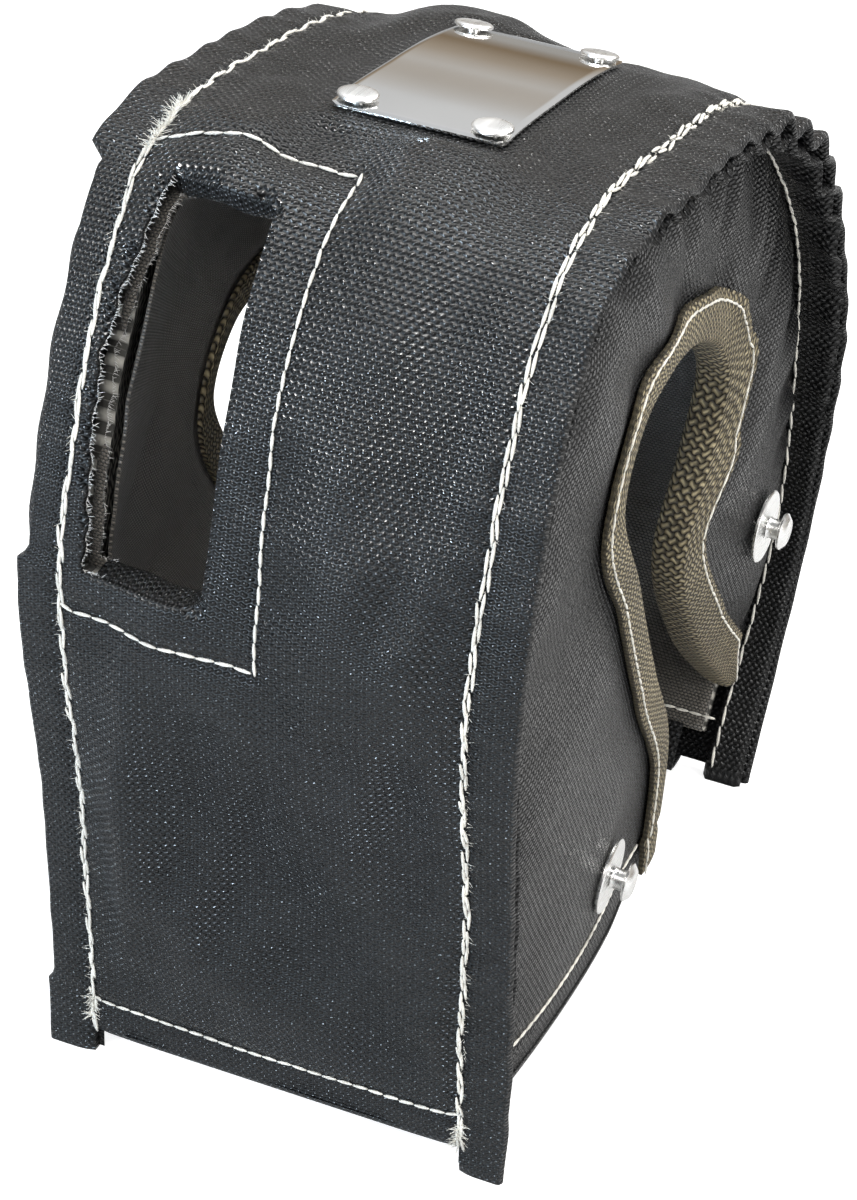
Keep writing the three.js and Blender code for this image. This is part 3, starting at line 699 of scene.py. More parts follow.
def panel_relief(station, s, seed):
    """Gathers that fan in from the seam and soft folds, outwards."""
    length, inward = station["length"], s * station["reach"]
    calm = smoothstep(1 - s, 0.1, 0.3)
    gathers = flange_wave(length, seed) * np.exp(-inward / 16) * smoothstep(inward, 0, 5)
    folds = 0.8 * ripples(length * 0.6, inward * 0.5, seed + 5, 26, 60) * smoothstep(inward, 4, 26)
    crease = np.sin(length * TAU / 24 + np.sin(length / 17)) * np.exp(-(((inward - 14) / 12) ** 2))
    lively = (
        smoothstep(length, WINDOW_HEAD - 60, WINDOW_HEAD + 20)
        * (1 - smoothstep(length, REAR_HEM - 150, REAR_HEM - 60))
    )
    hem = 0.6 * np.exp(-(((length - length_at_height(HEM_LIFT + HEM_STITCH)) / 1.8) ** 2))
    return calm * (gathers + folds + 1.1 * lively * crease) - hem


def panel_surface(side, station, s, depth=0.0):
    yz = station["root"] + station["spoke"] * s[..., None]
    out = HALF + panel_bulge(station, s) + panel_relief(station, s, 21 if side > 0 else 41)
    return np.concatenate([(side * (out - depth))[..., None], yz], axis=-1)


def spread(station, columns):
    """The same stations, repeated over columns."""
    made = {}
    for key, value in station.items():
        made[key] = np.repeat(value[:, None], columns, axis=1)
    return made


def make_panel_cloth(hand, side, material):
    lengths = steps([0, FRONT_HEM, FRONT_HEM + 0.6, TAIL, REAR_HEM, SEAM_LENGTH], GRID)
    station = panel_station(lengths)
    turn = steps([0, 1], 0.16)
    s_values = np.concatenate([[0.0, 0.012], np.linspace(0.035, 1, 50)])
    flange_count = len(turn)
    tip = HALF + PANEL_FLANGE
    across = tip + (HALF - tip) * turn
    wave = flange_wave(lengths, 9, 1.7)[:, None] + GATHER
    foot = smoothstep(np.minimum(lengths, SEAM_LENGTH - lengths), 0, 12)[:, None]
    lip = round_over(np.abs(tip - across), 1.2)
    bend = (1 - turn)[None] ** 1.5
    sag = wave * bend * foot
    low = FLANGE_STACK + 2 * CLOTH + sag - lip
    high = FLANGE_STACK + sag + lip * 0.9
    rows = np.broadcast_to(lengths[:, None], low.shape)
    widened = HALF + (across - HALF) * (1 + 0.3 * crown_share(lengths)[:, None])
    flange_out = beside(side * widened, rows, -low)
    flange_in = beside(side * (widened - CLOTH * (turn > 0.99)), rows, -high)
    wide = spread(station, len(s_values))
    s = np.broadcast_to(s_values, wide["share"].shape)
    face_out = panel_surface(side, wide, s)
    face_in = panel_surface(side, wide, s, CLOTH)
    outer = np.concatenate([flange_out, face_out], axis=1)
    inner = np.concatenate([flange_in, face_in], axis=1)
    for row in (0, -1):
        outer[row] = level(outer[row], 0.0)
        inner[row] = level(inner[row], 0.0)
    first = int(np.argmin(np.abs(lengths - FRONT_HEM)))
    outer[first, flange_count:, 2] = np.minimum(outer[first, flange_count:, 2], HEM_LIFT)
    inner[first, flange_count:, 2] = np.minimum(inner[first, flange_count:, 2], HEM_LIFT)
    inward = np.concatenate(
        [np.broadcast_to((turn - 1) * PANEL_FLANGE, low.shape), s * wide["reach"]], axis=1
    )
    uv = np.stack([inward, np.broadcast_to(lengths[:, None], inward.shape)], -1)
    uv[:, flange_count:] = outer[:, flange_count:, 1:]
    skip = np.zeros((len(lengths) - 1, outer.shape[1] - 1), bool)
    middle = (lengths[1:] + lengths[:-1]) / 2
    skip[(middle < FRONT_HEM) | (middle > TAIL), flange_count:] = True
    skip[(middle < FRONT_HEM) | (middle > TAIL), flange_count - 1] = True
    cloth = Cloth().wall(outer, inner, uv, skip)
    add_panel_hem_turn(cloth, side)
    return cloth.build(f"{hand}_panel", material)


def add_panel_hem_turn(cloth, side):
    """The panel's bottom hem, turned in under its layers."""
    station = panel_station(np.array([FRONT_HEM]))
    upper = panel_station(np.array([length_at_height(HEM_LIFT + HEM_DEPTH)]))
    s_values = np.linspace(0.1, 0.96, 40) * (1 - float(station["zone"][0]))
    s = s_values[None]
    inner = BAND_STACK + HEM_PLAY + CLOTH / 2
    route = [
        (0.9, 1.0), (1.3, 0.4), (2.0, 0.1), (5.0, 0.0), (8.2, 0.1), (9.4, 0.5), (inner, 1.5), (inner, 5.0),
        (inner, 11.5)
    ]
    sides = []
    for grow in (0.0, CLOTH):
        rows = []
        for depth, height in route:
            share = height / HEM_DEPTH
            place = {k: station[k] + (upper[k] - station[k]) * share for k in station}
            bend = min(1.0, max(0.0, (depth - 1.5) / 7))
            wide = spread(place, len(s_values))
            line = panel_surface(side, wide, s, depth - grow * (1 - 2 * bend))[0]
            line[:, 2] = HEM_LIFT + 0.1 + height + (grow * 0.9 if 0.5 < depth < 9.3 else 0)
            rows.append(line)
        sides.append(np.array(rows))
    run = run_along(np.array(route))
    uv = np.stack(np.meshgrid(s_values * float(station["reach"][0]), -run), -1)
    cloth.wall(sides[0], sides[1], uv)


def make_panel_layer(hand, side, name, layer, material):
    floor = HEM_LIFT + PLAY / 2 + CLOTH + PLAY
    lengths = steps([length_at_height(floor), length_at_height(TAIL_LIFT + TAIL_FLAT, True)], LAYER_GRID)
    station = panel_station(lengths)
    behind = (BAND_STACK + 2 * PLAY - FLANGE_STACK - 2 * CLOTH) / station["reach"]
    last = 1 - EDGE_SETBACK / station["slant"] / station["reach"]
    share = np.linspace(0, 1, 38)
    s = behind[:, None] + (last - behind)[:, None] * share
    wide = spread(station, len(share))
    batt = panel_batt(wide, s)
    top = CLOTH + PLAY
    if layer == "batt":
        bounds = (top + 0.3, top + 0.75 * batt)
    else:
        bounds = (top + batt + PLAY, top + batt + PLAY + LINING)
    sides = []
    for depth in bounds:
        yz = wide["root"] + wide["spoke"] * s[..., None]
        sag = -0.5 * np.abs(ripples(
            wide["length"] * 0.6, s * wide["reach"], 61 + side, 18, 50
        )) * smoothstep(1 - s, 0.05, 0.3)
        relief = panel_relief(wide, s, 21 if side > 0 else 41) * (1.0 if layer == "batt" else 0.5)
        x = side * (HALF + panel_bulge(wide, s) + relief + sag * (layer != "batt") - depth)
        made = np.concatenate([x[..., None], yz], axis=-1)
        made[0, :, 2] = np.minimum(made[0, :, 2], floor)
        sides.append(made)
    uv = np.stack([s * wide["reach"], np.broadcast_to(lengths[:, None], s.shape)], -1)
    return Cloth().wall(sides[0], sides[1], uv).build(f"{hand}_{name}", material)


# Tape round the openings


def tape_point(side, station, inward, depth):
    """A point of the tape: its distance in from the cut edge, depth as on the panel."""
    stride = inward / station["slant"] / station["reach"]
    s = 1 - stride
    yz = station["edge"] - station["spoke"] * stride[..., None]
    thick = CLOTH + PLAY + panel_batt(station, s) + PLAY + LINING
    out = HALF + panel_bulge(station, s) + panel_relief(station, s, 21 if side > 0 else 41)
    x = side * (out - np.where(depth > 0, thick, 0) - depth)
    return np.concatenate([x[..., None], yz], axis=-1)


def make_tape(hand, side, material):
    lengths = steps([FRONT_HEM, TAIL], 1.35)
    station = panel_station(lengths)
    run = run_along(station["edge"])
    face = np.minimum(TAPE_FACE, 0.45 * station["reach"] * station["slant"])
    scallop = 0.35 * np.sin(run * TAU / 3.1) + 0.25 * np.sin(run / 13)
    near, far = TAPE_PLAY, TAPE_PLAY + TAPE
    width = face + scallop * 0.5
    fold, crease = far * 0.4, near * 0.6
    shares = np.linspace(0, 1, 5)
    ring = [(width * (1 - t) - fold * t, -far - 0.35 * math.sin(math.pi * t)) for t in np.linspace(0, 1, 9)]
    for turn in np.linspace(0.15, 0.85, 5):
        bend = math.pi * turn
        ring.append((-fold - far * 0.75 * math.sin(bend), -far * math.cos(bend)))
    ring += [(-fold + (width + fold) * t, far + 0.2 * math.sin(math.pi * t)) for t in np.linspace(0, 1, 6)]
    ring += [(width * (1 - t) - crease * t, near) for t in shares]
    ring += [(-crease + (width + crease) * t, -near) for t in shares]
    columns = [tape_point(side, station, inward, np.full(len(lengths), depth)) for inward, depth in ring]
    points = np.stack(columns, axis=1)
    count = len(ring)
    around = run_along(points[len(points) // 2])
    rows = len(lengths)
    index = np.arange(rows * count).reshape(rows, count)
    nxt = np.roll(index, -1, axis=1)
    faces = np.stack([index[:-1], nxt[:-1], nxt[1:], index[1:]], -1).reshape(-1, 4)
    faces = faces if side < 0 else faces[:, ::-1]
    faces = [tuple(face) for face in faces]
    start, end = tuple(index[0][::-1]), tuple(index[-1])
    faces += [start, end] if side < 0 else [start[::-1], end[::-1]]
    uv = np.stack(np.meshgrid(around, run), -1).reshape(-1, 2)
    return mesh_object(f"{hand}_tape", points.reshape(-1, 3), faces, material, uv)


# Turned metal


def turned(name, profile, spots, material, sides=40):
    """A turned piece at each spot and axis; the profile is (radius, height), closed where it holds no zero radius."""
    rings = [p for p in profile if p[0] > 0]
    closed = len(rings) == len(profile)
    points, faces = [], []
    for spot, axis in spots:
        turn = Vector((0, 0, 1)).rotation_difference(Vector(axis)).to_matrix()
        base = len(points)
        for radius, height in rings:
            for k in range(sides):
                angle = TAU * k / sides
                local = turn @ Vector((radius * math.cos(angle), radius * math.sin(angle), height))
                points.append(tuple(local + Vector(spot)))
        bands = len(rings) if closed else len(rings) - 1
        for i in range(bands):
            j = (i + 1) % len(rings)
            for k in range(sides):
                n = (k + 1) % sides
                faces.append((
                    base + i * sides + k, base + i * sides + n, base + j * sides + n, base + j * sides + k
                ))
        if not closed:
            last = base + (len(rings) - 1) * sides
            faces.append(tuple(base + k for k in reversed(range(sides))))
            faces.append(tuple(last + k for k in range(sides)))
    piece = mesh_object(name, points, faces, material, smooth=False)
    for polygon in piece.data.polygons:
        polygon.use_smooth = len(polygon.vertices) == 4
    piece.data.set_sharp_from_angle(angle=math.radians(38))
    return piece


def plate_spots():
    across = PLATE_WIDTH / 2 - PLATE_RIVET_INSET
    ends = {
        "front": PLATE_START + PLATE_RIVET_INSET, "rear": PLATE_START + PLATE_LENGTH - PLATE_RIVET_INSET
    }
    for end, length in ends.items():
        for hand, x in (("left", PLATE_OFFSET - across), ("right", PLATE_OFFSET + across)):
            spot = beside(x, length, band_rise(x, length))
            out = seam_frame(np.array(length))[2]
            yield f"plate_rivet_{end}_{hand}", tuple(spot), (0.0, float(out[0]), float(out[1]))


def make_plate(material):
    """The polished plate, bent to the crown, its corners and edges eased."""
    width, long, corner = PLATE_WIDTH / 2, PLATE_LENGTH / 2, PLATE_CORNER
    u = steps([-width, -width + corner, width - corner, width], 1.2)
    v = steps([-long, -long + corner, long - corner, long], 1.2)
    x, y = np.meshgrid(u, v)
    over_x = np.clip(np.abs(x) - width + corner, 0, None)
    over_y = np.clip(np.abs(y) - long + corner, 0, None)
    size = np.hypot(over_x, over_y)
    shrink = np.where(size > 0, np.maximum(over_x, over_y) / np.maximum(size, 1e-9), 1)
    x = np.sign(x) * (np.minimum(np.abs(x), width - corner) + over_x * shrink)
    y = np.sign(y) * (np.minimum(np.abs(y), long - corner) + over_y * shrink)
    length = PLATE_START + long + y
    edge = np.minimum(width - np.abs(x), long - np.abs(y))
    ease = round_over(edge, 0.35)
    lift = band_rise(PLATE_OFFSET, length) + PLAY + PLATE
    outer = beside(PLATE_OFFSET + x, length, lift - ease)
    inner = beside(PLATE_OFFSET + x, length, lift - PLATE)
    plate = Cloth().wall(outer, inner, np.stack([x, y], -1)).build("plate", material)
    plate.data.set_sharp_from_angle(angle=math.radians(50))
    return plate


def anchor_frame(side, end):
    length, inward = ANCHOR_PLACES[end]
    stations = panel_station(np.array([length, length + 2, length]))
    s = inward / stations["reach"][0]
    shares = np.array([s, s, s + 2 / stations["reach"][0]])
    yz = stations["root"] + stations["spoke"] * shares[:, None]
    x = side * (HALF + panel_bulge(stations, shares))
    spot, after, deeper = np.concatenate([x[:, None], yz], axis=1)
    axis = np.cross(after - spot, deeper - spot)
    axis /= np.linalg.norm(axis)
    return tuple(spot), tuple(axis if axis[0] * side > 0 else -axis)


# Thread and fibres, made with Geometry Nodes


def new_tree(name, inputs):
    tree = bpy.data.node_groups.new(name, "GeometryNodeTree")
    tree.interface.new_socket(name="Geometry", in_out="INPUT", socket_type="NodeSocketGeometry")
    for label, kind, value in inputs:
        socket = tree.interface.new_socket(name=label, in_out="INPUT", socket_type=kind)
        if value is not None:
            socket.default_value = value
    tree.interface.new_socket(name="Geometry", in_out="OUTPUT", socket_type="NodeSocketGeometry")
    return tree, tree.nodes.new("NodeGroupInput"), tree.nodes.new("NodeGroupOutput")


def put(tree, kind, inputs=None, **settings):
    """Adds a node; inputs are numbers, or sockets to link from."""
    node = tree.nodes.new(kind)
    for key, value in settings.items():
        setattr(node, key, value)
    for key, value in (inputs or {}).items():
        socket = node.inputs[key]
        if isinstance(value, bpy.types.NodeSocket):
            tree.links.new(value, socket)
        else:
            socket.default_value = value
    return node


def maths(tree, operation, a, b=0.0, c=None):
    inputs = {0: a, 1: b} if c is None else {0: a, 1: b, 2: c}
    return put(tree, "ShaderNodeMath", inputs, operation=operation).outputs[0]


def random_number(tree, low, high, seed):
    node = put(tree, "FunctionNodeRandomValue", data_type="FLOAT")
    floats = [s for s in node.inputs if s.type == "VALUE" and s.enabled]
    floats[0].default_value, floats[1].default_value = low, high
    tree.links.new(seed, node.inputs["Seed"])
    return next(s for s in node.outputs if s.type == "VALUE" and s.enabled)


def spots_along(tree, given, spacing):
    """Points at even steps along the incoming line, and the cloth's outward direction at each."""
    line = put(tree, "GeometryNodeMeshToCurve", {"Mesh": given.outputs["Geometry"]})
    spots = put(
        tree, "GeometryNodeCurveToPoints",
        {"Curve": line.outputs["Curve"], "Length": given.outputs[spacing]}, mode="LENGTH"
    )
    lift = put(tree, "GeometryNodeInputNamedAttribute", {"Name": "lift"}, data_type="FLOAT_VECTOR")
    return spots, lift.outputs["Attribute"]


def facing_turned(tree, main, other, axes, **angles):
    """A rotation that faces along two directions, then turns by angles about its own axes."""
    facing = put(
        tree, "FunctionNodeAxesToRotation", {0: main, 1: other}, primary_axis=axes[0],
        secondary_axis=axes[1]
    )
    turn = put(tree, "ShaderNodeCombineXYZ", angles)
    euler = put(tree, "FunctionNodeEulerToRotation", {0: turn.outputs[0]})
    both = put(
        tree, "FunctionNodeRotateRotation", {0: facing.outputs[0], 1: euler.outputs[0]},
        rotation_space="LOCAL"
    )
    return both.outputs[0]


def hand_over(tree, given, result, geometry):
    """Gives the geometry its material and puts it out."""
    coloured = put(
        tree, "GeometryNodeSetMaterial",
        {"Geometry": geometry.outputs[0], "Material": given.outputs["Material"]}
    )
    tree.links.new(coloured.outputs[0], result.inputs[0])
    return tree


def stitch_tree():
    """Stitches laid end to end along a line, each slightly turned, standing on the cloth's outward direction."""
    tree, given, result = new_tree("stitch_row", [
        ("Stitch", "NodeSocketFloat", 0.0055), ("Thread", "NodeSocketFloat", 0.0011),
        ("Slant", "NodeSocketFloat", 0.05), ("Seed", "NodeSocketInt", 1),
        ("Material", "NodeSocketMaterial", None),
    ])
    spots, lift = spots_along(tree, given, "Stitch")
    sway = random_number(tree, -0.07, 0.07, given.outputs["Seed"])
    turned_by = facing_turned(
        tree, spots.outputs["Tangent"], lift, "XZ", Z=maths(tree, "ADD", sway, given.outputs["Slant"])
    )
    ball = put(tree, "GeometryNodeMeshUVSphere", {"Segments": 6, "Rings": 5, "Radius": 0.5})
    size = put(tree, "ShaderNodeCombineXYZ", {
        "X": maths(tree, "MULTIPLY", given.outputs["Stitch"], 1.06),
        "Y": given.outputs["Thread"], "Z": maths(tree, "MULTIPLY", given.outputs["Thread"], 0.9),
    })
    long_way = put(
        tree, "GeometryNodeTransform", {"Geometry": ball.outputs["Mesh"], "Rotation": (0, math.pi / 2, 0)}
    )
    shaped = put(tree, "GeometryNodeTransform", {"Geometry": long_way.outputs[0], "Scale": size.outputs[0]})
    placed = put(
        tree, "GeometryNodeInstanceOnPoints",
        {"Points": spots.outputs["Points"], "Instance": shaped.outputs[0], "Rotation": turned_by}
    )
    real = put(tree, "GeometryNodeRealizeInstances", {"Geometry": placed.outputs[0]})
    smooth = put(tree, "GeometryNodeSetShadeSmooth", {"Geometry": real.outputs[0]})
    return hand_over(tree, given, result, smooth)


def fibre_tree():
    """Short loose fibres along a line, leaning at random about the cloth's outward direction."""
    tree, given, result = new_tree("loose_fibres", [
        ("Spacing", "NodeSocketFloat", 0.0008), ("Length", "NodeSocketFloat", 0.003),
        ("Fibre", "NodeSocketFloat", 0.00012),
        ("Lean", "NodeSocketFloat", 1.2), ("Seed", "NodeSocketInt", 1),
        ("Material", "NodeSocketMaterial", None),
    ])
    spots, lift = spots_along(tree, given, "Spacing")
    lean = [maths(
        tree, "MULTIPLY", random_number(tree, -1, 1, maths(tree, "ADD", given.outputs["Seed"], k)),
        given.outputs["Lean"]
    ) for k in (1, 2)]
    turned_by = facing_turned(tree, lift, spots.outputs["Tangent"], "ZX", X=lean[0], Y=lean[1])
    hair = put(
        tree, "GeometryNodeMeshCone",
        {
            "Vertices": 3, "Side Segments": 1, "Fill Segments": 1, "Radius Top": 0.3, "Radius Bottom": 1.0,
            "Depth": 1.0
        }
    )
    size = random_number(tree, 0.35, 1.0, maths(tree, "ADD", given.outputs["Seed"], 7))
    scale = put(tree, "ShaderNodeCombineXYZ", {
        "X": given.outputs["Fibre"], "Y": given.outputs["Fibre"],
        "Z": maths(tree, "MULTIPLY", given.outputs["Length"], size),
    })
    placed = put(
        tree, "GeometryNodeInstanceOnPoints",
        {
            "Points": spots.outputs["Points"], "Instance": hair.outputs["Mesh"], "Rotation": turned_by,
            "Scale": scale.outputs[0]
        }
    )
    real = put(tree, "GeometryNodeRealizeInstances", {"Geometry": placed.outputs[0]})
    return hand_over(tree, given, result, real)


def grown(name, tree, lines, values):
    """Runs a tree over lines of (points, outward directions) in millimetres and returns the plain mesh piece."""
    points, edges, lifts = [], [], []
    for run, out in lines:
        base = len(points)
        points.extend(map(tuple, (np.asarray(run) + (0, SHIFT, 0)) * MM))
        lifts.extend(map(tuple, np.asarray(out)))
        edges.extend((base + k, base + k + 1) for k in range(len(run) - 1))
    mesh = bpy.data.meshes.new(name + "_line")
    mesh.from_pydata(points, edges, [])
    lift = mesh.attributes.new("lift", "FLOAT_VECTOR", "POINT")
    lift.data.foreach_set("vector", np.array(lifts, float).ravel())
    holder = bpy.data.objects.new(name + "_line", mesh)
    bpy.context.scene.collection.objects.link(holder)
    modifier = holder.modifiers.new("run", "NODES")
    modifier.node_group = tree
    for item in tree.interface.items_tree:
        if item.in_out == "INPUT" and item.name in values:
            modifier[item.identifier] = values[item.name]
    depsgraph = bpy.context.evaluated_depsgraph_get()
    made = bpy.data.meshes.new_from_object(holder.evaluated_get(depsgraph))
    holder.modifiers.remove(modifier)
    bpy.data.objects.remove(holder)
    made.name = name
    for attribute in [a.name for a in made.attributes if a.name == "lift"]:
        made.attributes.remove(made.attributes[attribute])
    piece = bpy.data.objects.new(name, made)
    bpy.context.scene.collection.objects.link(piece)
    return piece


def on_band(x, length, rise=0.45):
    """A line on the band's cloth with its outward directions."""
    x, length = np.broadcast_arrays(np.asarray(x, float), np.asarray(length, float))
    return band_surface(x, length, -rise), band_normal(x, length)


def under_band(x, lengths, depth):
    """A line on a face inside the band, with its inward directions."""
    out = seam_frame(lengths)[2]
    return beside(x, lengths, -depth), np.stack([0 * lengths, -out[:, 0], -out[:, 1]], -1)


def along(corners, step):
    """Points at even steps along a polyline in the cloth's plane."""
    corners = np.array(corners, float)
    run = run_along(corners)
    at = np.arange(0, run[-1] + step / 2, step)
    return np.stack([np.interp(at, run, corners[:, k]) for k in (0, 1)], -1)


# Shader groups and materials


def shader_group(name, inputs, outputs):
    group = bpy.data.node_groups.new(name, "ShaderNodeTree")
    for label, kind, value in inputs:
        socket = group.interface.new_socket(name=label, in_out="INPUT", socket_type=kind)
        if value is not None:
            socket.default_value = value
    for label, kind in outputs:
        group.interface.new_socket(name=label, in_out="OUTPUT", socket_type=kind)
    return group, group.nodes.new("NodeGroupInput"), group.nodes.new("NodeGroupOutput")


def woven_group():
    """Rows of rounded yarn crossings. Height rises over each crossing, Yarn is a number drawn for each."""
    group, given, result = shader_group("woven_rows", [
        ("Vector", "NodeSocketVector", None), ("Across", "NodeSocketFloat", 0.002),
        ("Along", "NodeSocketFloat", 0.0012),
        ("Stagger", "NodeSocketFloat", 0.5), ("Wave", "NodeSocketFloat", 0.2),
        ("Squareness", "NodeSocketFloat", 2.0),
    ], [("Height", "NodeSocketFloat"), ("Yarn", "NodeSocketFloat"), ("Groove", "NodeSocketFloat")])
    place = put(group, "ShaderNodeSeparateXYZ", {0: given.outputs["Vector"]})
    u = maths(group, "DIVIDE", place.outputs["X"], given.outputs["Across"])
    v = maths(group, "DIVIDE", place.outputs["Y"], given.outputs["Along"])
    swing = maths(group, "SINE", maths(group, "MULTIPLY", u, TAU))
    v = maths(group, "ADD", v, maths(group, "MULTIPLY", swing, given.outputs["Wave"]))
    row = maths(group, "FLOOR", v)
    odd = maths(group, "FLOORED_MODULO", row, 2.0)
    u = maths(group, "ADD", u, maths(group, "MULTIPLY", odd, given.outputs["Stagger"]))
    column = maths(group, "FLOOR", u)

    def fall(value):
        centred = maths(group, "MULTIPLY", maths(group, "SUBTRACT", maths(group, "FRACT", value), 0.5), 2.0)
        return maths(group, "POWER", maths(group, "ABSOLUTE", centred), given.outputs["Squareness"])

    height = maths(
        group, "MAXIMUM", maths(group, "SUBTRACT", 1.0, maths(group, "ADD", fall(u), fall(v))), 0.0
    )
    height = maths(group, "POWER", height, 0.6)
    cell = put(group, "ShaderNodeCombineXYZ", {"X": column, "Y": row})
    draw = put(group, "ShaderNodeTexWhiteNoise", {"Vector": cell.outputs[0]}, noise_dimensions="2D")
    tall = maths(
        group, "MULTIPLY", height,
        maths(group, "ADD", 0.75, maths(group, "MULTIPLY", draw.outputs["Value"], 0.25))
    )
    group.links.new(tall, result.inputs["Height"])
    group.links.new(draw.outputs["Value"], result.inputs["Yarn"])
    group.links.new(maths(group, "SUBTRACT", 1.0, height), result.inputs["Groove"])
    return group


def patchy_group():
    """Slow uneven patches and fine specks over Object coordinates, darker and lighter at random."""
    group, given, result = shader_group("patches", [
        ("Vector", "NodeSocketVector", None), ("Patch Scale", "NodeSocketFloat", 30.0),
        ("Speck Scale", "NodeSocketFloat", 900.0),
    ], [("Patch", "NodeSocketFloat"), ("Speck", "NodeSocketFloat")])
    slow = put(
        group, "ShaderNodeTexNoise",
        {"Vector": given.outputs["Vector"], "Scale": given.outputs["Patch Scale"], "Detail": 4.0}
    )
    fast = put(
        group, "ShaderNodeTexNoise",
        {"Vector": given.outputs["Vector"], "Scale": given.outputs["Speck Scale"], "Detail": 2.0}
    )
    group.links.new(slow.outputs[0], result.inputs["Patch"])
    group.links.new(fast.outputs[0], result.inputs["Speck"])
    return group


def ramp(tree, value, stops):
    node = put(tree, "ShaderNodeValToRGB", {0: value})
    elements = node.color_ramp.elements
    while len(elements) < len(stops):
        elements.new(0.5)
    for element, (place, colour) in zip(elements, stops):
        element.position = place
        element.color = (*colour, 1) if len(colour) == 3 else colour
    return node.outputs["Color"]


def grey(value):
    return (value, value, value)


def scaled(colour, factor):
    return tuple(c * factor for c in colour)


def start_material(name):
    material = bpy.data.materials.new(name)
    material.use_nodes = True
    tree = material.node_tree
    shader = tree.nodes["Principled BSDF"]
    return material, tree, shader


def spread_range(tree, value, low, high):
    return put(tree, "ShaderNodeMapRange", {0: value, 3: low, 4: high}).outputs[0]


def patches_over(tree, groups, place):
    """The patches group over Object coordinates."""
    patches = put(tree, "ShaderNodeGroup", {}, node_tree=groups["patches"])
    tree.links.new(place.outputs["Object"], patches.inputs["Vector"])
    return patches


def cloth_material(
    name, groups, colour, across, along_pitch, wave, squareness, relief, rough, lift=1.6, painted_top_highlight=None
):
    """Woven cloth: yarn relief from its own UV map, with painted shade in the grooves and a painted highlight on the
    yarn tops, and slow patches from Object coordinates.
    """
    material, tree, shader = start_material(name)
    uv = put(tree, "ShaderNodeUVMap", uv_map="cloth")
    place = put(tree, "ShaderNodeTexCoord")
    patches = patches_over(tree, groups, place)
    wander = put(
        tree, "ShaderNodeTexNoise", {"Vector": place.outputs["Object"], "Scale": 55.0, "Detail": 1.0}
    )
    drift = put(
        tree, "ShaderNodeVectorMath", {0: wander.outputs["Color"], 1: (0.5, 0.5, 0.5)}, operation="SUBTRACT"
    )
    bent = put(
        tree, "ShaderNodeVectorMath", {0: drift.outputs[0], "Scale": across * 0.5}, operation="SCALE"
    )
    moved = put(tree, "ShaderNodeVectorMath", {0: uv.outputs[0], 1: bent.outputs[0]}, operation="ADD")
    weave = put(tree, "ShaderNodeGroup", {}, node_tree=groups["woven"])
    tree.links.new(moved.outputs[0], weave.inputs["Vector"])
    for label, value in (
        ("Across", across), ("Along", along_pitch), ("Wave", wave), ("Squareness", squareness)
    ):
        weave.inputs[label].default_value = value
    # Painted shade: the grooves fall to 0.12 of the colour. Painted highlight: the yarn tops rise to lift times the
    # colour, or to the top highlight colour where one is given.
    shade = ramp(
        tree, weave.outputs["Height"],
        [(0.0, scaled(colour, 0.12)), (0.5, scaled(colour, 0.75)), (1.0, scaled(painted_top_highlight or colour, lift))]
    )
    uneven = ramp(tree, patches.outputs["Patch"], [(0.3, grey(0.75)), (0.7, grey(1.2))])
    mixed = put(
        tree, "ShaderNodeMix", {0: 1.0, 6: shade, 7: uneven}, data_type="RGBA", blend_type="MULTIPLY"
    )
    tree.links.new(mixed.outputs[2], shader.inputs["Base Color"])
    yarn_rough = spread_range(tree, weave.outputs["Yarn"], rough[0], rough[1])
    patch_rough = spread_range(tree, patches.outputs["Patch"], -0.08, 0.08)
    groove_rough = maths(tree, "MULTIPLY", weave.outputs["Groove"], 0.5)
    yarn_rough = maths(tree, "ADD", yarn_rough, groove_rough)
    tree.links.new(maths(tree, "ADD", yarn_rough, patch_rough), shader.inputs["Roughness"])
    fine = put(
        tree, "ShaderNodeBump",
        {"Height": patches.outputs["Speck"], "Distance": relief * 0.35, "Strength": 0.5}
    )
    bump = put(
        tree, "ShaderNodeBump",
        {"Height": weave.outputs["Height"], "Distance": relief, "Strength": 1.0, "Normal": fine.outputs[0]}
    )
    tree.links.new(bump.outputs[0], shader.inputs["Normal"])
    return material, shader


def thread_material(name, groups, colour):
    material, tree, shader = start_material(name)
    place = put(tree, "ShaderNodeTexCoord")
    patches = patches_over(tree, groups, place)
    patches.inputs["Patch Scale"].default_value = 120.0
    patches.inputs["Speck Scale"].default_value = 2400.0
    shade = ramp(tree, patches.outputs["Patch"], [(0.3, scaled(colour, 0.72)), (0.6, colour)])
    tree.links.new(shade, shader.inputs["Base Color"])
    tree.links.new(spread_range(tree, patches.outputs["Speck"], 0.6, 0.95), shader.inputs["Roughness"])
    bump = put(tree, "ShaderNodeBump", {"Height": patches.outputs["Speck"], "Distance": 0.0003})
    tree.links.new(bump.outputs[0], shader.inputs["Normal"])
    shader.inputs["Sheen Weight"].default_value = 0.3
    return material


def metal_material(name, groups, colour, rough, scratch):
    material, tree, shader = start_material(name)
    place = put(tree, "ShaderNodeTexCoord")
    patches = patches_over(tree, groups, place)
    stretch = put(
        tree, "ShaderNodeMapping", {"Vector": place.outputs["Object"], "Scale": (900.0, 40.0, 900.0)}
    )
    lines = put(tree, "ShaderNodeTexNoise", {"Vector": stretch.outputs[0], "Scale": 1.0, "Detail": 3.0})
    shade = ramp(tree, patches.outputs["Patch"], [(0.3, scaled(colour, 0.9)), (0.7, colour)])
    tree.links.new(shade, shader.inputs["Base Color"])
    tree.links.new(
        spread_range(tree, maths(tree, "MULTIPLY", lines.outputs[0], patches.outputs["Patch"]), rough[0], rough[1]),
        shader.inputs["Roughness"]
    )
    bump = put(tree, "ShaderNodeBump", {"Height": lines.outputs[0], "Distance": scratch, "Strength": 0.4})
    tree.links.new(bump.outputs[0], shader.inputs["Normal"])
    shader.inputs["Metallic"].default_value = 1.0
    return material


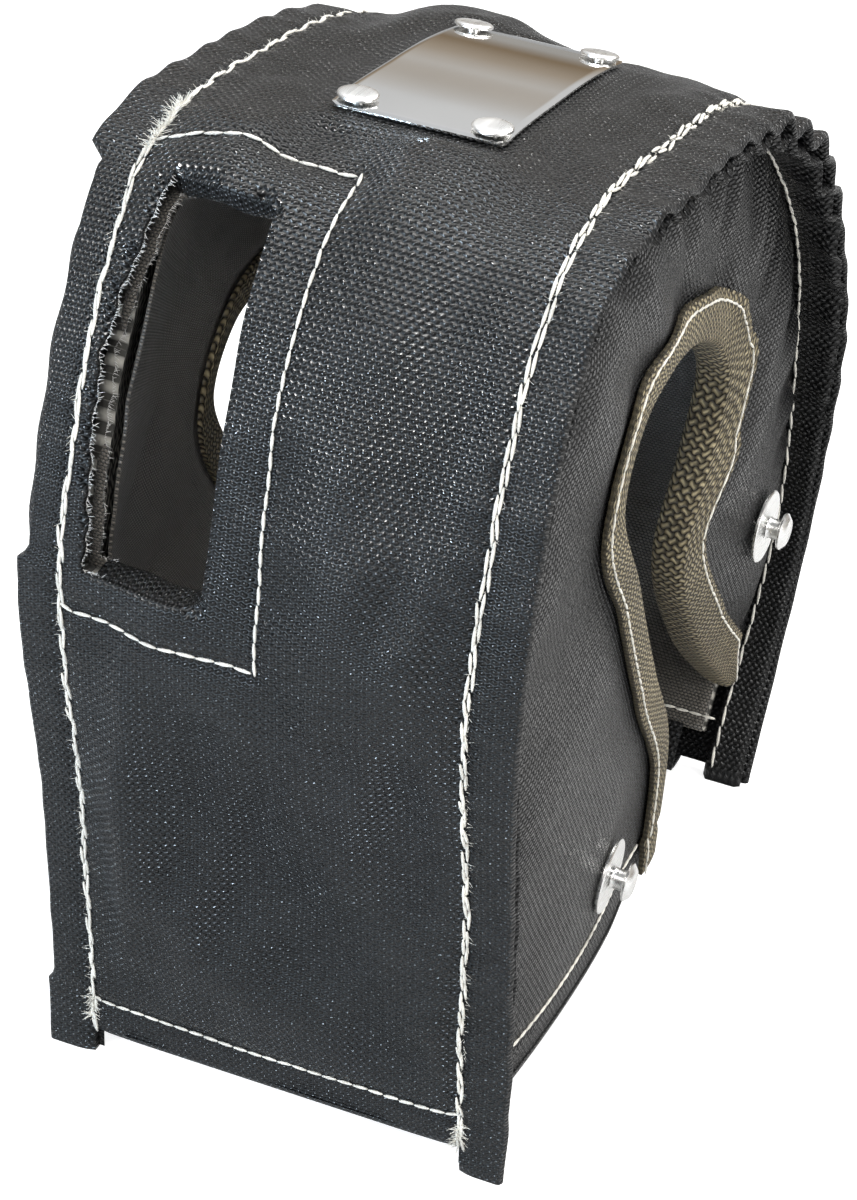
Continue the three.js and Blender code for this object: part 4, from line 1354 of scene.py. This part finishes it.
def all_materials():
    """Makes each finish once and keeps it for the pieces to come."""
    if FINISHES:
        return FINISHES
    groups = {"woven": woven_group(), "patches": patchy_group()}
    look = bpy.context.scene.blanket_finish
    sizes = bpy.context.scene.blanket_sizes
    # Each cloth's lift sets the painted highlight on its yarn tops; every cloth also gets painted shade in its
    # grooves
    outer, shader = cloth_material(
        "coated_cloth", groups, tuple(look.cloth_colour), sizes.yarn_across, sizes.yarn_along,
        wave=0.1, squareness=2.2, relief=0.0013, rough=(0.08, 0.26), lift=1.6)
    shader.inputs["Specular IOR Level"].default_value = 0.28
    lining, shader = cloth_material(
        "lining_cloth", groups, tuple(look.lining_colour), 0.0011, 0.0008, 0.0, 2.0, 0.0004, (0.34, 0.5), 1.4)
    shader.inputs["Sheen Weight"].default_value = 0.25
    # The tape's top colour is a painted highlight on its yarn tops
    tape, shader = cloth_material(
        "olive_tape", groups, tuple(look.tape_colour), 0.0026, 0.0017,
        wave=0.2, squareness=2.4, relief=0.0018, rough=(0.7, 0.9), lift=1.0, painted_top_highlight=tuple(look.tape_painted_top_highlight))
    shader.inputs["Sheen Weight"].default_value = 0.1
    shader.inputs["Specular IOR Level"].default_value = 0.25
    batt, _ = cloth_material(
        "batt_fibre", groups, (0.5, 0.48, 0.43), 0.004, 0.003, 0.4, 1.2, 0.0006, (0.9, 1.0), 1.1)
    FINISHES.update(
        outer=outer, lining=lining, tape=tape, batt=batt,
        thread=thread_material("cream_thread", groups, tuple(look.thread_colour)),
        fibre=thread_material("grey_fibre", groups, (0.78, 0.77, 0.75)),
        plate=metal_material("polished_steel", groups, (0.86, 0.86, 0.85), (0.03, 0.14), 0.000004),
        metal=metal_material("satin_aluminium", groups, (0.78, 0.78, 0.77), (0.2, 0.5), 0.00002),
        stitch=stitch_tree(), loose=fibre_tree(),
    )
    return FINISHES


FINISHES = {}


# Settings that a user would change


class BlanketSizes(bpy.types.PropertyGroup):
    yarn_across: bpy.props.FloatProperty(
        name="Yarn across", description="Width of one yarn crossing", default=0.0018, unit="LENGTH",
        precision=5
    )
    yarn_along: bpy.props.FloatProperty(
        name="Yarn along", description="Height of one yarn crossing", default=0.00115, unit="LENGTH",
        precision=5
    )
    stitch: bpy.props.FloatProperty(
        name="Stitch", description="Length of a seam stitch", default=0.0056, unit="LENGTH", precision=5
    )
    hem_stitch: bpy.props.FloatProperty(
        name="Hem stitch", description="Length of a hem stitch", default=0.0036, unit="LENGTH", precision=5
    )
    thread: bpy.props.FloatProperty(
        name="Thread", description="Width of the sewing thread", default=0.00086, unit="LENGTH", precision=5
    )
    floor_size: bpy.props.FloatProperty(
        name="Floor", description="Side of the floor", default=8.0, unit="LENGTH"
    )


class BlanketFinish(bpy.types.PropertyGroup):
    cloth_colour: bpy.props.FloatVectorProperty(
        name="Cloth", description="Colour of the coated cloth", default=(0.0085, 0.0088, 0.0095),
        subtype="COLOR"
    )
    lining_colour: bpy.props.FloatVectorProperty(
        name="Lining", description="Colour of the lining", default=(0.115, 0.103, 0.086), subtype="COLOR"
    )
    tape_colour: bpy.props.FloatVectorProperty(
        name="Tape", description="Colour of the edge tape", default=(0.2, 0.16, 0.09), subtype="COLOR"
    )
    # Painted highlight on the tape's yarn tops, which the cloth ramp paints over the grooves' painted shade
    tape_painted_top_highlight: bpy.props.FloatVectorProperty(
        name="Tape yarn tops", description="Colour on top of the tape's yarns", default=(0.4, 0.34, 0.21),
        subtype="COLOR"
    )
    thread_colour: bpy.props.FloatVectorProperty(
        name="Thread", description="Colour of the sewing thread", default=(0.83, 0.8, 0.72), subtype="COLOR"
    )
    floor_colour: bpy.props.FloatVectorProperty(
        name="Floor", description="Colour of the floor", default=(0.55, 0.55, 0.55), subtype="COLOR"
    )


# Operators


class BLANKET_OT_stage(bpy.types.Operator):
    """Sets up the floor, the soft light and the camera"""

    bl_idname = "blanket.stage"
    bl_label = "Stage"

    def execute(self, context):
        scene = context.scene
        scene.view_settings.view_transform = "Standard"
        half = scene.blanket_sizes.floor_size / 2
        mesh = bpy.data.meshes.new("floor")
        mesh.from_pydata(
            [(-half, -half, 0), (half, -half, 0), (half, half, 0), (-half, half, 0)], [], [(0, 1, 2, 3)]
        )
        material, tree, shader = start_material("pale_floor")
        shader.inputs["Base Color"].default_value = (*scene.blanket_finish.floor_colour, 1)
        shader.inputs["Roughness"].default_value = 0.85
        shader.inputs["Emission Color"].default_value = (1, 1, 1, 1)
        rays = put(tree, "ShaderNodeLightPath")
        mirrored = maths(tree, "MULTIPLY", rays.outputs["Is Glossy Ray"], 0.2)
        seen = maths(
            tree, "MAXIMUM", rays.outputs["Is Camera Ray"],
            maths(tree, "MAXIMUM", mirrored, rays.outputs["Is Transmission Ray"])
        )
        tree.links.new(maths(tree, "MULTIPLY", seen, 0.8), shader.inputs["Emission Strength"])
        mesh.materials.append(material)
        floor = bpy.data.objects.new("floor", mesh)
        scene.collection.objects.link(floor)
        floor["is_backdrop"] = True
        self.light_world(scene)
        self.hang_lamps(scene)
        self.place_camera(scene)
        return {"FINISHED"}

    def light_world(self, scene):
        world = bpy.data.worlds.new("studio")
        world.use_nodes = True
        scene.world = world
        tree = world.node_tree
        tree.nodes.clear()
        place = put(tree, "ShaderNodeTexCoord")
        up = put(tree, "ShaderNodeSeparateXYZ", {0: place.outputs["Generated"]})
        room = ramp(tree, maths(tree, "ADD", maths(tree, "MULTIPLY", up.outputs["Z"], 0.5), 0.5), [
            (0.5, (0.5, 0.48, 0.45)), (0.535, (0.3, 0.22, 0.14)), (0.575, (0.5, 0.42, 0.33)),
            (0.63, (0.85, 0.85, 0.85)), (0.78, (0.95, 0.96, 0.98)), (1.0, (0.75, 0.77, 0.8)),
        ])
        rays = put(tree, "ShaderNodeLightPath")
        glossy = put(tree, "ShaderNodeBackground", {"Color": room, "Strength": 0.75})
        soft = put(tree, "ShaderNodeBackground", {"Color": (0.93, 0.96, 1.0, 1), "Strength": 0.4})
        white = put(tree, "ShaderNodeBackground", {"Color": (1, 1, 1, 1), "Strength": 1.0})
        first = put(
            tree, "ShaderNodeMixShader",
            {0: rays.outputs["Is Glossy Ray"], 1: soft.outputs[0], 2: glossy.outputs[0]}
        )
        direct = maths(tree, "MAXIMUM", rays.outputs["Is Camera Ray"], rays.outputs["Is Transmission Ray"])
        second = put(tree, "ShaderNodeMixShader", {0: direct, 1: first.outputs[0], 2: white.outputs[0]})
        out = put(tree, "ShaderNodeOutputWorld", {"Surface": second.outputs[0]})
        out.is_active_output = True

    def hang_lamps(self, scene):
        aim = Vector((0, 0, 0.12))
        lamps = [
            ("key", (0.35, 0.55, 0.95), 0.55, 13.0, (1.0, 0.985, 0.96)),
            ("window_side", (-0.6, -1.05, 0.5), 0.4, 9.0, (0.72, 0.85, 1.0)),
            ("front_top", (0.1, -0.95, 1.0), 0.45, 8.0, (1.0, 0.98, 0.95)),
            ("right_fill", (1.1, -0.25, 0.5), 0.7, 8.0, (1.0, 0.99, 0.97)),
            ("low_sheen", (-0.38, -1.05, 0.12), 0.2, 48.0, (0.68, 0.84, 1.0)),
            ("high_sheen", (-0.1, 0.1, 1.1), 0.22, 34.0, (1.0, 0.99, 0.97)),
        ]
        for name, place, size, power, colour in lamps:
            lamp = bpy.data.lights.new(name, "AREA")
            lamp.shape = "SQUARE"
            lamp.size, lamp.energy, lamp.color = size, power, colour
            holder = bpy.data.objects.new(name, lamp)
            holder.location = place
            holder.visible_diffuse = "sheen" not in name
            holder.rotation_euler = (aim - Vector(place)).to_track_quat("-Z", "Y").to_euler()
            scene.collection.objects.link(holder)

    def place_camera(self, scene):
        swing, rise, roll = 0.3309, 0.5461, -0.1001
        distance = 983.137 * 0.876
        target = np.array((-3.784, -1.042, 106.249)) * 0.876 - (0, 10.9 - SHIFT, 0)
        back = np.array((
            math.sin(swing) * math.cos(rise), -math.cos(swing) * math.cos(rise), math.sin(rise)
        ))
        right = np.array((math.cos(swing), math.sin(swing), 0))
        up = np.cross(back, right)
        x = right * math.cos(roll) - up * math.sin(roll)
        y = right * math.sin(roll) + up * math.cos(roll)
        camera = bpy.data.cameras.new("camera")
        camera.sensor_width = 36.0
        camera.lens = 3647.1 / 1200 * 36
        camera.clip_start = 0.01
        holder = bpy.data.objects.new("camera", camera)
        turn = Matrix(((x[0], y[0], back[0]), (x[1], y[1], back[1]), (x[2], y[2], back[2])))
        holder.matrix_world = Matrix.Translation(Vector((target + distance * back) * MM)) @ turn.to_4x4()
        scene.collection.objects.link(holder)
        scene.camera = holder


class BLANKET_OT_band(bpy.types.Operator):
    """Makes the band: outer cloth with its window, batt and lining"""

    bl_idname = "blanket.band"
    bl_label = "Band"

    def execute(self, context):
        looks = all_materials()
        cloth = standing_for(make_band_cloth(looks["outer"]), "coated_cloth", "band_outer_cloth")
        batt = make_band_layer(
            "band_padding", CLOTH + 2 * PLAY, CLOTH + PLAY + BATT - BATT_SETTLE, looks["batt"], 51, 1.6,
            False
        )
        standing_for(batt, "batt_fibre", "band_batt")
        lining = make_band_layer(
            "band_inner_lining", BAND_STACK - LINING, BAND_STACK, looks["lining"], 52, 0.9, True
        )
        standing_for(lining, "lining_cloth", "band_lining")
        return {"FINISHED"}


class BLANKET_OT_panels(bpy.types.Operator):
    """Makes both side panels: outer cloth, batt and lining"""

    bl_idname = "blanket.panels"
    bl_label = "Side panels"

    def execute(self, context):
        looks = all_materials()
        for hand, side in (("right", 1), ("left", -1)):
            cloth = make_panel_cloth(hand, side, looks["outer"])
            standing_for(cloth, "coated_cloth", f"{hand}_panel_cloth")
            batt = make_panel_layer(hand, side, "panel_padding", "batt", looks["batt"])
            standing_for(batt, "batt_fibre", f"{hand}_panel_batt")
            lining = make_panel_layer(hand, side, "panel_inner_lining", "lining", looks["lining"])
            standing_for(lining, "lining_cloth", f"{hand}_panel_lining")
        return {"FINISHED"}


class BLANKET_OT_tape(bpy.types.Operator):
    """Folds the woven tape over both openings' edges"""

    bl_idname = "blanket.tape"
    bl_label = "Edge tape"

    def execute(self, context):
        looks = all_materials()
        for hand, side in (("right", 1), ("left", -1)):
            tape = make_tape(hand, side, looks["tape"])
            standing_for(tape, "olive_tape", f"{hand}_edge_binding")
        return {"FINISHED"}


class BLANKET_OT_stitches(bpy.types.Operator):
    """Sews the seams, hems, window and tape"""

    bl_idname = "blanket.stitches"
    bl_label = "Stitches"

    def execute(self, context):
        looks = all_materials()
        sizes = context.scene.blanket_sizes
        thread = {"Thread": sizes.thread, "Material": looks["thread"]}

        def sew(name, lines, stitch, seed, node, **extra):
            values = {**thread, "Stitch": stitch, "Seed": seed, **extra}
            piece = grown(name, looks["stitch"], lines, values)
            return standing_for(piece, "cream_thread", node)

        for hand, side in (("right", 1), ("left", -1)):
            lengths = np.arange(FRONT_HEM + 2, REAR_HEM - 2, 1.4)
            wander = 0.35 * ripples(lengths, 0 * lengths, 71 + side, 20, 90)
            one = on_band(side * HALF + wander, lengths)
            other = on_band(side * (HALF - 0.75) + wander * 0.5, lengths + 2.2)
            sew(f"{hand}_seam_stitches", [one, other], sizes.stitch, 3 + side, f"{hand}_seam_thread")
            self.sew_panel(hand, side, sew, sizes)
            self.sew_back(hand, side, lengths, sizes, looks)
        for end, rear in (("front", False), ("rear", True)):
            length = length_at_height((REAR_HEM_LIFT if rear else HEM_LIFT) + HEM_STITCH, rear)
            x = np.arange(-HALF + 1, HALF - 1, 0.9)
            sew(
                f"{end}_hem_stitches", [on_band(x, length + 0.3 * np.sin(x / 7))], sizes.hem_stitch, 9,
                f"{end}_hem_thread"
            )
            row = under_band(x, 0 * x + length, BAND_STACK + HEM_PLAY + CLOTH + THREAD_RISE)
            values = {**thread, "Stitch": sizes.hem_stitch, "Seed": 33}
            piece = grown(f"{end}_hem_backstitches", looks["stitch"], [row], values)
            standing_for(piece, "cream_thread")
        line = along(WINDOW_STITCHES, 1.0)
        sew("window_stitches", [on_band(line[:, 0], line[:, 1])], sizes.stitch * 0.75, 12, "window_thread")
        return {"FINISHED"}

    def sew_back(self, hand, side, lengths, sizes, looks):
        """The seam's thread where it comes out under the panel's flange."""
        across = side * (HALF + 1.3 + 0.3 * np.sin(lengths / 17))
        bend = 0.14**1.5
        sag = (flange_wave(lengths, 9, 1.7) + GATHER) * bend
        row = under_band(across, lengths, FLANGE_STACK + 2 * CLOTH + sag + THREAD_RISE)
        values = {"Stitch": sizes.stitch, "Thread": sizes.thread, "Seed": 31, "Material": looks["thread"]}
        piece = grown(f"{hand}_seam_backstitches", looks["stitch"], [row], values)
        standing_for(piece, "cream_thread")

    def sew_panel(self, hand, side, sew, sizes):
        station = panel_station(np.array([length_at_height(HEM_LIFT + HEM_STITCH)]))
        reach = float(station["reach"][0])
        s = np.arange(3 / reach, 1 - (TAPE_FACE + 2 * TAPE) / reach, 1.0 / reach)
        run = panel_surface(side, spread(station, len(s)), s[None], -0.4)[0]
        out = np.tile((side * 1.0, 0.0, 0.0), (len(s), 1))
        sew(f"{hand}_panel_hem_stitches", [(run, out)], sizes.hem_stitch, 15, f"{hand}_panel_hem_thread")
        lengths = steps([FRONT_HEM + 1, TAIL - 1], 1.3)
        station = panel_station(lengths)
        face = np.minimum(TAPE_FACE, 0.45 * station["reach"] * station["slant"])
        run = tape_point(side, station, 0.78 * face, np.full(len(lengths), -TAPE_PLAY - TAPE - THREAD_RISE))
        out = np.tile((side * 1.0, 0.0, 0.0), (len(lengths), 1))
        sew(
            f"{hand}_tape_stitches", [(run, out)], sizes.stitch * 0.8, 18, f"{hand}_binding_thread",
            Thread=0.0007
        )


class BLANKET_OT_frays(bpy.types.Operator):
    """Adds loose fibres at raw edges and sewn ends"""

    bl_idname = "blanket.frays"
    bl_label = "Frays"

    def execute(self, context):
        looks = all_materials()

        def fray(name, lines, numbers, material):
            values = dict(zip(("Spacing", "Length", "Fibre", "Lean", "Seed"), numbers), Material=material)
            standing_for(grown(name, looks["loose"], lines, values), "cream_thread")

        left = WINDOW_LINE[WINDOW_LINE[:, 0] < WINDOW_LEFT + WINDOW_LEFT_ZONE]
        rows = []
        for depth in (1.0, 8.3):
            points = band_surface(left[:, 0] + 0.3, left[:, 1], depth)
            rows.append((points, np.tile((0.95, -0.3, 0.1), (len(points), 1))))
        fray("window_frays", rows, (0.00035, 0.0016, 0.00009, 0.8, 5), looks["fibre"])
        tufts = []
        for side, places in ((-1, [(12, 20), (243, 262)]), (1, [(8, 16), (600, 612)])):
            for low, high in places:
                lengths = np.arange(low, high, 0.8)
                tufts.append(on_band(side * (HALF - 0.4) + 0 * lengths, lengths, 0.3))
        fray("seam_tufts", tufts, (0.0001, 0.0036, 0.00014, 1.45, 8), looks["thread"])
        fuzz = []
        for side in (-1, 1):
            lengths = np.arange(FRONT_HEM + 2, REAR_HEM - 2, 2.0)
            fuzz.append(on_band(side * HALF + 0 * lengths, lengths, 0.4))
        fray("seam_fuzz", fuzz, (0.0011, 0.0019, 0.00008, 1.5, 9), looks["thread"])
        return {"FINISHED"}


class BLANKET_OT_plate(bpy.types.Operator):
    """Fits the bare polished plate and its rivets on the crown"""

    bl_idname = "blanket.plate"
    bl_label = "Plate"

    def execute(self, context):
        looks = all_materials()
        standing_for(make_plate(looks["plate"]), "polished_plate", "name_plate")
        seat = 2 * PLAY + PLATE + PLAY / 2
        top = seat + 1.1
        tail = -BAND_STACK - 3 * PLAY
        spread_radius = PLATE_SHANK + 1.2
        profile = [
            (0, tail - 1), (spread_radius - 0.2, tail - 1), (spread_radius, tail - 0.8),
            (spread_radius, tail), (PLATE_SHANK, tail), (PLATE_SHANK, seat),
            (PLATE_HEAD - 0.15, seat), (PLATE_HEAD, seat + 0.15), (PLATE_HEAD, seat + 0.5),
            (PLATE_HEAD - 0.12, seat + 0.72),
            (PLATE_HEAD - 0.5, top - 0.18), (PLATE_HEAD - 1.2, top - 0.06), (PLATE_HEAD - 2.4, top),
            (0.4, top), (0, top),
        ]
        for name, spot, axis in plate_spots():
            rivet = turned(name + "_turned", profile, [(spot, axis)], looks["metal"])
            standing_for(rivet, "anchor_metal", name)
        return {"FINISHED"}


class BLANKET_OT_anchors(bpy.types.Operator):
    """Fits the lacing anchors with their washers"""

    bl_idname = "blanket.anchors"
    bl_label = "Lacing anchors"

    def execute(self, context):
        looks = all_materials()
        for hand, side in (("right", 1), ("left", -1)):
            for end in ANCHOR_PLACES:
                self.fit(hand, side, end, looks["metal"])
        return {"FINISHED"}

    def fit(self, hand, side, end, metal):
        spots = [anchor_frame(side, end)]
        hole = ANCHOR_SHANK + PLAY
        low, high = ANCHOR_SEAT, ANCHOR_SEAT + ANCHOR_WASHER_THICKNESS
        wide = ANCHOR_WASHER
        profile = [
            (hole, low), (wide - 0.2, low), (wide, low + 0.2), (wide, high - 0.25), (wide - 0.3, high),
            (hole + 0.2, high), (hole, high - 0.2)
        ]
        standing_for(
            turned(f"{hand}_{end}_base_washer", profile, spots, metal, 56), "anchor_metal",
            f"{hand}_{end}_anchor_washer"
        )
        under = -BAND_STACK - CLINCH_SEAT - ANCHOR_WASHER_THICKNESS
        over = under + ANCHOR_WASHER_THICKNESS
        wide = CLINCH_WASHER
        profile = [(hole, under), (wide - 0.3, under), (wide, under + 0.3), (wide, over), (hole, over)]
        standing_for(
            turned(f"{hand}_{end}_clinch", profile, spots, metal), "anchor_metal",
            f"{hand}_{end}_clinch_washer"
        )
        seat = ANCHOR_SEAT + ANCHOR_WASHER_THICKNESS + PLAY
        head = seat + ANCHOR_POST_LENGTH
        end_face = head + ANCHOR_HEAD_THICKNESS
        tail = under - PLAY
        profile = [
            (0, tail - 1), (ANCHOR_SHANK + 0.7, tail - 1), (ANCHOR_SHANK + 1, tail - 0.7),
            (ANCHOR_SHANK + 1, tail), (ANCHOR_SHANK, tail),
            (ANCHOR_SHANK, seat), (ANCHOR_POST + 0.35, seat), (ANCHOR_POST + 0.05, seat + 0.35),
            (ANCHOR_POST, seat + 0.8), (ANCHOR_POST, head - 0.5),
            (ANCHOR_POST + 0.5, head - 0.05), (ANCHOR_HEAD - 0.15, head), (ANCHOR_HEAD, head + 0.15),
            (ANCHOR_HEAD, head + 0.6),
            (ANCHOR_HEAD - 1.2, end_face - 0.15), (ANCHOR_HEAD - 1.5, end_face), (0.5, end_face),
            (0, end_face),
        ]
        standing_for(
            turned(f"{hand}_{end}_post", profile, spots, metal), "anchor_metal", f"{hand}_{end}_anchor_post"
        )


class BLANKET_PT_sidebar(bpy.types.Panel):
    """Lists the blanket's steps"""

    bl_label = "Heat Blanket"
    bl_idname = "BLANKET_PT_sidebar"
    bl_space_type = "VIEW_3D"
    bl_region_type = "UI"
    bl_category = "Heat Blanket"

    def draw(self, context):
        layout = self.layout
        for group in (context.scene.blanket_sizes, context.scene.blanket_finish):
            for name in group.__annotations__:
                layout.prop(group, name)
        for operator in OPERATORS:
            layout.operator(operator.bl_idname)


OPERATORS = (
    BLANKET_OT_stage, BLANKET_OT_band, BLANKET_OT_panels, BLANKET_OT_tape, BLANKET_OT_stitches,
    BLANKET_OT_frays, BLANKET_OT_plate, BLANKET_OT_anchors,
)
CLASSES = (BlanketSizes, BlanketFinish, *OPERATORS, BLANKET_PT_sidebar)


def register():
    for item in CLASSES:
        bpy.utils.register_class(item)
    bpy.types.Scene.blanket_sizes = bpy.props.PointerProperty(type=BlanketSizes)
    bpy.types.Scene.blanket_finish = bpy.props.PointerProperty(type=BlanketFinish)


def unregister():
    del bpy.types.Scene.blanket_finish
    del bpy.types.Scene.blanket_sizes
    for item in reversed(CLASSES):
        bpy.utils.unregister_class(item)


def main():
    register()
    bpy.ops.blanket.stage()
    bpy.ops.blanket.band()
    bpy.ops.blanket.panels()
    bpy.ops.blanket.tape()
    bpy.ops.blanket.stitches()
    bpy.ops.blanket.frays()
    bpy.ops.blanket.plate()
    bpy.ops.blanket.anchors()
    boxes = {"cad": CAD_BOX, "visual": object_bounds()}
    {key: [list(corner) for corner in box] for key, box in boxes.items()}


if __name__ == "__main__":
    main()
